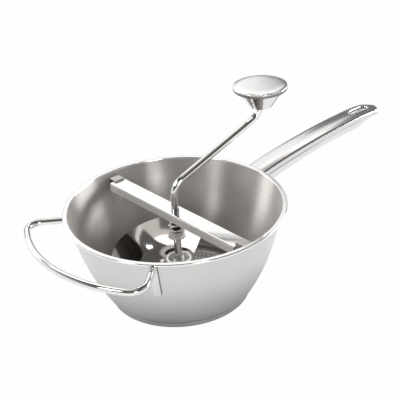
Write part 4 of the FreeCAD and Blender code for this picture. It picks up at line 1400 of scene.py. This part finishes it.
@dataclass
class Crank(Assembly):
    """The bent rod, the pressing blade with its hub, and the rings on the rod."""

    rod_r: float = 3.5
    pilot_r: float = 3.0
    pilot_low_z: float = 2.05
    pilot_step: float = 0.05
    corner_z: float = 110.9
    rise_deg: float = 24.4
    low_bend: float = 18.0
    high_bend: float = 20.0
    pin_top_z: float = 178.08
    shaded_z: Tuple[float, float] = (60.0, 82.0)
    blade_r: float = 64.0
    blade_t: float = 1.2
    lead_deg: float = 32.0
    sweep_deg: float = 290.0
    lead_inner_z: float = 32.3
    lead_outer_z: float = 45.0
    pressed_z: float = 8.4
    fall_power: float = 1.6
    blade_root_r: float = 13.0
    corner_cut: float = 0.3
    corner_share: float = 0.125
    hub_r: float = 13.2
    hub_low_z: float = 9.65
    hub_top_z: float = 34.3
    cup_r: float = 9.4
    cup_low_z: float = 29.3
    collar_r: float = 5.4
    collar_top_z: float = 30.8
    stop_in_r: float = 3.0
    stop_r: float = 5.4
    stop_z: Tuple[float, float] = (56.52, 57.52)
    pin_ring_r: float = 5.9
    pin_washer_z: Tuple[float, float] = (166.92, 168.12)
    pin_clip_z: Tuple[float, float] = (176.28, 177.28)

    def rod(self) -> None:
        """The rod: pilot, shaft, rising arm and knob pin in one upright plane."""
        high_z = self.corner_z + CRANK_REACH * math.tan(math.radians(self.rise_deg))
        path = rounded(
            [(0, 0, self.pilot_low_z), (0, 0, self.hub_low_z - self.pilot_step), (0, 0, self.hub_low_z),
             (0, 0, self.corner_z), (CRANK_REACH, 0, high_z), (CRANK_REACH, 0, self.pin_top_z)],
            [0, 0, 0, self.low_bend, self.high_bend, 0], 22, closed=False,
        )
        path = spread(path, 6.0)
        radius = np.where(path[:, 2] < self.hub_low_z - self.pilot_step / 2, self.pilot_r, self.rod_r)
        surface = tube(path, (0.0, 1.0, 0.0), radius, 32, 0.45)
        middle = surface.points[surface.blocks[0]].mean(axis=1)
        # Painted shade: the shaft is dark where the spring surrounds it.
        low, high = self.shaded_z
        surface.zones[0] = ((middle[:, 2] > low) & (middle[:, 2] < high)).astype(int)
        surface = surface.turned(CRANK_TURN_DEG)
        self.shop.add("crank_bent_rod", surface, (ROD, SHADED_SHAFT), Body.CRANK, Slot.ROD, ["crank_rod"])

    def blade(self) -> None:
        """The blade: straight lines that touch the hub, swept round and falling to the pressing edge.

        At a share s the line starts beside the hub, heads along lead + sweep * s, and both its ends fall
        by the share s ** power from their raised heights to the pressed height. The first lines are
        shorter, so the raised corner is round.
        """
        share = np.linspace(0.0, 1.0, 180)[:, None]
        fall = share ** self.fall_power
        heading = np.radians(self.lead_deg + self.sweep_deg * share)
        length = math.sqrt(self.blade_r ** 2 - self.blade_root_r ** 2)
        kept = 1.0 - self.corner_cut * np.maximum(1.0 - share / self.corner_share, 0.0) ** 2
        out = np.concatenate([np.linspace(0.0, 0.97, 36), [0.985, 0.995, 1.0]])[None] * kept
        inner_z = self.lead_inner_z + (self.pressed_z - self.lead_inner_z) * fall
        outer_z = self.lead_outer_z + (self.pressed_z - self.lead_outer_z) * fall
        x = self.blade_root_r * np.sin(heading) + length * out * np.cos(heading)
        y = -self.blade_root_r * np.cos(heading) + length * out * np.sin(heading)
        z = inner_z + (outer_z - inner_z) * out
        under = np.stack([x, y, z], axis=-1)
        over = under + np.array([0.0, 0.0, self.blade_t])
        loop = np.concatenate([over, under[:, ::-1]], axis=1)
        columns = loop.shape[1]
        surface = Surface.of(loop, grid_faces(len(loop), columns, False, True))
        pairs = columns // 2
        j = np.arange(pairs - 1)
        first = np.stack([j, j + 1, columns - 2 - j, columns - 1 - j], axis=-1)
        last = first[:, ::-1] + (len(loop) - 1) * columns
        surface.blocks.append(np.concatenate([first, last]))
        surface.zones.append(np.zeros(2 * len(j), int))
        self.shop.add("pressing_blade_sheet", surface, (BLADE,), Body.CRANK, Slot.BLADE, ["pressing_blade"])

    def hub(self) -> None:
        """The hub: a boss with a rounded rim, a recess and a small collar round the shaft."""
        outline = rounded(
            [(self.rod_r, self.hub_low_z), (self.hub_r, self.hub_low_z), (self.hub_r, self.hub_top_z),
             (self.cup_r, self.hub_top_z), (self.cup_r, self.cup_low_z), (self.collar_r, self.cup_low_z),
             (self.collar_r, self.collar_top_z), (self.rod_r, self.collar_top_z)],
            [0.1, 0.5, 1.2, 0.9, 0.8, 0.3, 0.5, 0.1], 7,
        )
        surface = revolve(supported(outline, 0.25), 96)
        self.shop.add("blade_hub_boss", surface, (HUB,), Body.CRANK, Slot.BLADE, ["blade_hub"])

    def rings(self) -> None:
        """The stop ring on the shaft, and the washer and clip on the knob's pin."""
        stop = washer(self.stop_in_r, self.stop_r, *self.stop_z)
        self.shop.add("shaft_stop_ring", stop, (SPRING,), Body.CRANK, Slot.SPRING, ["stop_ring"])
        for name, node, span in (
            ("knob_seat_washer", "knob_thrust_washer", self.pin_washer_z),
            ("knob_keeper", "knob_clip", self.pin_clip_z),
        ):
            ring = washer(self.rod_r, self.pin_ring_r, *span).moved((*KNOB_AXIS, 0.0))
            self.shop.add(name, ring, (SPRING,), Body.CRANK, Slot.SPRING, [node])

    def build(self) -> None:
        """Makes every piece of the crank."""
        self.rod()
        self.blade()
        self.hub()
        self.rings()


@dataclass
class Knob(Assembly):
    """The turning knob: top plate, cone and the bearing inside it."""

    radius: float = 25.5
    plate_low_z: float = 180.6
    plate_top_z: float = 184.2
    crown: float = 1.0
    crown_power: float = 9.0
    edge_r: float = 0.8
    rim_shade_h: float = 1.7
    cone_low_z: float = 163.4
    cone_low_r: float = 11.0
    cone_top_r: float = 22.6
    cone_t: float = 1.2
    mouth_r: float = 6.2
    bush_in_r: float = 3.56
    bush_r: float = 5.96
    bush_low_z: float = 168.2
    bush_top_z: float = 176.2
    web_t: float = 1.0

    @property
    def slope(self) -> float:
        """How far the cone widens for each millimetre of height."""
        return (self.cone_top_r - self.cone_low_r) / (self.plate_low_z - self.cone_low_z)

    def _turned(self, name: str, outline: Array, finish: Steel, slot: Slot, node: str) -> None:
        """Adds a piece turned about the knob's own axis, with painted shade on its rim's lowest band.

        Args:
            name: The piece's name.
            outline: Pairs of radius and height.
            finish: Its finish away from the painted shade.
            slot: Passed on to the workshop.
            node: The node that it stands for.
        """
        outline = supported(outline, 0.2)
        middle = (outline + np.roll(outline, -1, axis=0)) / 2
        # Painted shade: the lowest band of the rim takes the dark finish.
        is_rim_shaded = (middle[:, 0] > self.radius - 1.0) & (middle[:, 1] < self.plate_low_z + self.rim_shade_h)
        surface = revolve(outline, 96, is_rim_shaded.astype(int)).moved((*KNOB_AXIS, 0.0))
        self.shop.add(name, surface, (finish, PAINTED_SHADE), Body.KNOB, slot, [node])

    def cap(self) -> None:
        """The top plate: nearly flat, falling away close to its rounded edge."""
        flat = self.radius - self.edge_r
        r = np.linspace(0.0, 1.0, 28) ** 0.7 * flat
        dome = np.stack([r, self.plate_top_z + self.crown * (1 - (r / flat) ** self.crown_power)], axis=-1)
        low = self.plate_low_z
        rim = rounded(
            [dome[-1], (self.radius, self.plate_top_z), (self.radius, low), (0.0, low)],
            [0, self.edge_r * 0.98, 0.5, 0], 8, closed=False,
        )
        outline = np.concatenate([dome, rim[1:]])
        self._turned("knob_top_plate", outline, KNOB_TOP, Slot.KNOB, "knob_cap")

    def cone(self) -> None:
        """The cone below the plate, open round the pin."""
        low, high, floor = self.cone_low_z, self.plate_low_z, self.cone_low_z + self.cone_t
        outline = rounded(
            [(self.mouth_r, low), (self.cone_low_r, low), (self.cone_top_r, high),
             (self.cone_top_r - self.cone_t, high),
             (self.cone_low_r - self.cone_t + self.slope * self.cone_t, floor), (self.mouth_r, floor)],
            [0.4, 1.0, 0, 0, 0.5, 0.4], 6,
        )
        self._turned("knob_cone_cup", outline, KNOB_CONE, Slot.KNOB, "knob_cone")

    def bearing(self) -> None:
        """The bush on the pin and the web that carries it."""
        low, high = self.bush_low_z, self.bush_top_z
        bush = [(self.bush_in_r, low), (self.bush_r, low), (self.bush_r, high), (self.bush_in_r, high)]
        self._turned("knob_bearing", rounded(bush, 0.25, 4), BAR, Slot.BAR, "knob_bush")
        low = high - self.web_t
        inside_r = self.cone_low_r - self.cone_t
        low_r, high_r = [inside_r + self.slope * (z - self.cone_low_z) for z in (low, high)]
        web = [(self.bush_r, low), (low_r, low), (high_r, high), (self.bush_r, high)]
        self._turned("knob_bearing_web", rounded(web, 0.1, 3), BAR, Slot.BAR, "knob_web")

    def build(self) -> None:
        """Makes every piece of the knob."""
        self.cap()
        self.cone()
        self.bearing()


@dataclass
class Studio:
    """A white floor, soft surroundings with a dark ceiling, seven soft lamps and the camera. In metres."""

    eye: Tuple[float, float, float] = (-0.5345, -0.6740, 0.5619)
    aim: Tuple[float, float, float] = (0.0302, -0.0009, 0.0844)
    right: Tuple[float, float, float] = (0.7448, -0.6649, -0.0562)
    lens_mm: float = 95.14
    floor_r: float = 2.6
    floor_z: float = -0.00005
    bowl_middle: Tuple[float, float, float] = (0.0, 0.0, 0.05)
    seen_white: float = 0.98
    glossy_white: float = 0.92
    ceiling_light: float = 0.1
    zenith_light: float = 0.4

    def floor(self) -> None:
        """A round floor: white to the camera, with part of its own shading kept for the shadow."""
        r = np.array([0.0, 0.1, 0.3, 1.0]) * self.floor_r / MM
        disc = revolve(np.stack([r, 0 * r + self.floor_z / MM], axis=-1), 64, closed=False)
        mesh = new_mesh("studio_floor", disc, MICRON)
        if mesh.polygons[0].normal.z < 0:
            mesh.flip_normals()
        made = bpy.data.materials.new("studio_white_floor")
        made.use_nodes = True
        graph = Graph(made.node_tree)
        plain = graph.node("ShaderNodeTexCoord", None, None, "Object")
        paper = graph.mix(graph.noise(plain, 9.0, 2.0), (0.7, 0.7, 0.7), (0.75, 0.75, 0.75))
        matt = graph.node("ShaderNodeBsdfPrincipled", None, {"Base Color": paper, "Roughness": 0.9})
        white = graph.node("ShaderNodeEmission", None, {"Color": (1.0, 1.0, 1.0, 1.0), "Strength": 1.0})
        camera, glossy, through = [
            graph.node("ShaderNodeLightPath", None, None, name)
            for name in ("Is Camera Ray", "Is Glossy Ray", "Is Transmission Ray")
        ]
        x, y = [graph.node("ShaderNodeSeparateXYZ", None, {0: plain}, axis) for axis in range(2)]
        far = ((x * x + y * y) ** 0.5).step(0.06, 0.14)
        share = (camera * self.seen_white + (glossy + through) * far * self.glossy_white).below(1.0)
        both = graph.node("ShaderNodeMixShader", None, {0: share, 1: matt, 2: white})
        graph.node("ShaderNodeOutputMaterial", None, {"Surface": both})
        mesh.materials.append(made)
        floor = bpy.data.objects.new("studio_floor", mesh)
        bpy.context.scene.collection.objects.link(floor)

    def surroundings(self) -> None:
        """The world: white to the camera, and what the steel reflects.

        A white horizon, dimmer in front, on the far right and at the back left, under a dark ceiling with
        a white side, grey cards and a bright tube. A direction is given by its turn about the upright
        axis in degrees and by its height on the unit sphere.
        """
        world = bpy.data.worlds.new("studio_surroundings")
        bpy.context.scene.world = world
        world.use_nodes = True
        graph = Graph(world.node_tree)
        way = graph.node("ShaderNodeTexCoord", None, None, "Generated")
        x, y, z = [graph.node("ShaderNodeSeparateXYZ", None, {0: way}, axis) for axis in range(3)]
        turn = graph.node("ShaderNodeMath", {"operation": "ARCTAN2"}, {0: y, 1: x}) * (180.0 / math.pi)
        ceiling = z.step(0.64, 0.67)
        edge = turn - (z - 0.855).above(0.0) ** 2 * 1500.0
        white_side = edge.step(47.6, 48.4) * turn.fade(98.0, 106.0) * z.fade(0.91, 0.95)
        card = turn.fade(61.0, 63.0) * z.fade(0.849, 0.855)
        bar_dark = card * turn.step(53.0, 54.0) * z.fade(0.828, 0.834)
        lit = white_side * (1.45 - 0.93 * card - 0.47 * bar_dark)
        above = self.ceiling_light + self.zenith_light * z.step(0.92, 0.96) + lit
        front = (x * -0.62 + y * -0.785).step(0.0, 0.5) * z.step(0.0, 0.2)
        far_right = turn.fade(95.0, 115.0) * (turn + 70.0).step(0.0, 40.0) * z.step(0.0, 0.12)
        back_left = turn.step(112.0, 125.0) * z.step(0.22, 0.3)
        level = (1.0 - 0.9 * front) * (1.0 - 0.8 * far_right) * (1.0 - 0.6 * back_left)
        corner_card = turn.step(26.0, 32.0) * turn.fade(44.0, 47.0) * z.step(0.61, 0.66) * z.fade(0.72, 0.75)
        tube = turn.step(37.0, 38.0) * turn.fade(47.6, 48.4) * z.step(0.799, 0.801) * z.fade(0.809, 0.811)
        light = level + (above - level) * ceiling + 0.7 * corner_card + 0.8 * tube
        tone = graph.mix(ceiling, (1.0, 1.0, 1.0), (1.0, 0.95, 0.9))
        camera = graph.node("ShaderNodeLightPath", None, None, "Is Camera Ray")
        strength = camera + (1.0 - camera) * light
        colour = graph.mix(camera, tone, (1.0, 1.0, 1.0))
        shader = graph.node("ShaderNodeBackground", None, {"Color": colour, "Strength": strength})
        graph.node("ShaderNodeOutputWorld", None, {"Surface": shader})

    def lamps(self) -> None:
        """A white panel with a narrow side, lamps in front, left, back and far right, a small one above."""
        bowl = self.bowl_middle
        rows = (
            ("lamp_panel", (0.251, 1.28, 0.9), (-0.392, 0.514, 0.9), 1.6, 0.8, 3.8),
            ("lamp_panel_side", (0.956, 0.689, 1.0), (0.313, -0.077, 1.0), 0.24, 0.62, 0.42),
            ("lamp_front", (-0.38, -1.1, 0.38), bowl, 0.3, 0.3, 2.6),
            ("lamp_left", (-1.3, 0.07, 1.1), bowl, 0.3, 0.6, 4.2),
            ("lamp_back", (-0.35, 1.15, 0.5), bowl, 0.4, 0.3, 3.6),
            ("lamp_far", (1.05, -0.32, 0.35), bowl, 0.7, 0.3, 5.2),
            ("lamp_small", (0.777, 0.676, 1.714), bowl, 0.026, 0.08, 0.4),
        )
        for name, place, aim, width, height, watts in rows:
            lamp = bpy.data.lights.new(name, "AREA")
            lamp.shape = "RECTANGLE"
            lamp.size = width
            lamp.size_y = height
            lamp.energy = watts
            made = bpy.data.objects.new(name, lamp)
            made.location = place
            made.rotation_euler = (Vector(aim) - Vector(place)).to_track_quat("-Z", "Y").to_euler()
            made.visible_camera = False
            bpy.context.scene.collection.objects.link(made)

    def camera(self) -> None:
        """The camera, placed and rolled as the photograph was taken."""
        data = bpy.data.cameras.new("studio_camera")
        data.lens = self.lens_mm
        data.sensor_width = 36.0
        data.clip_start = 0.01
        data.clip_end = 50.0
        made = bpy.data.objects.new("studio_camera", data)
        back = (Vector(self.eye) - Vector(self.aim)).normalized()
        right = Vector(self.right)
        right = (right - right.dot(back) * back).normalized()
        up = back.cross(right)
        turn = Matrix((right, up, back)).transposed().to_4x4()
        made.matrix_world = Matrix.Translation(Vector(self.eye)) @ turn
        bpy.context.scene.collection.objects.link(made)
        bpy.context.scene.camera = made

    def build(self) -> None:
        """Makes the floor, the light and the camera."""
        self.camera()
        self.floor()
        self.surroundings()
        self.lamps()
        bpy.context.scene.view_settings.view_transform = "Standard"


def main() -> None:
    """Builds the studio and every sub-assembly, and reports what was made."""
    logging.basicConfig(level=logging.INFO, format="%(name)s %(message)s", stream=sys.stdout)
    Studio().build()
    shop = Workshop()
    for assembly in (Bowl, LongHandle, WireHandle, SprungBar, Crank, Knob):
        assembly(shop).build()
    LOG.info("%d pieces made", len(shop.made))


if __name__ == "__main__":
    main()
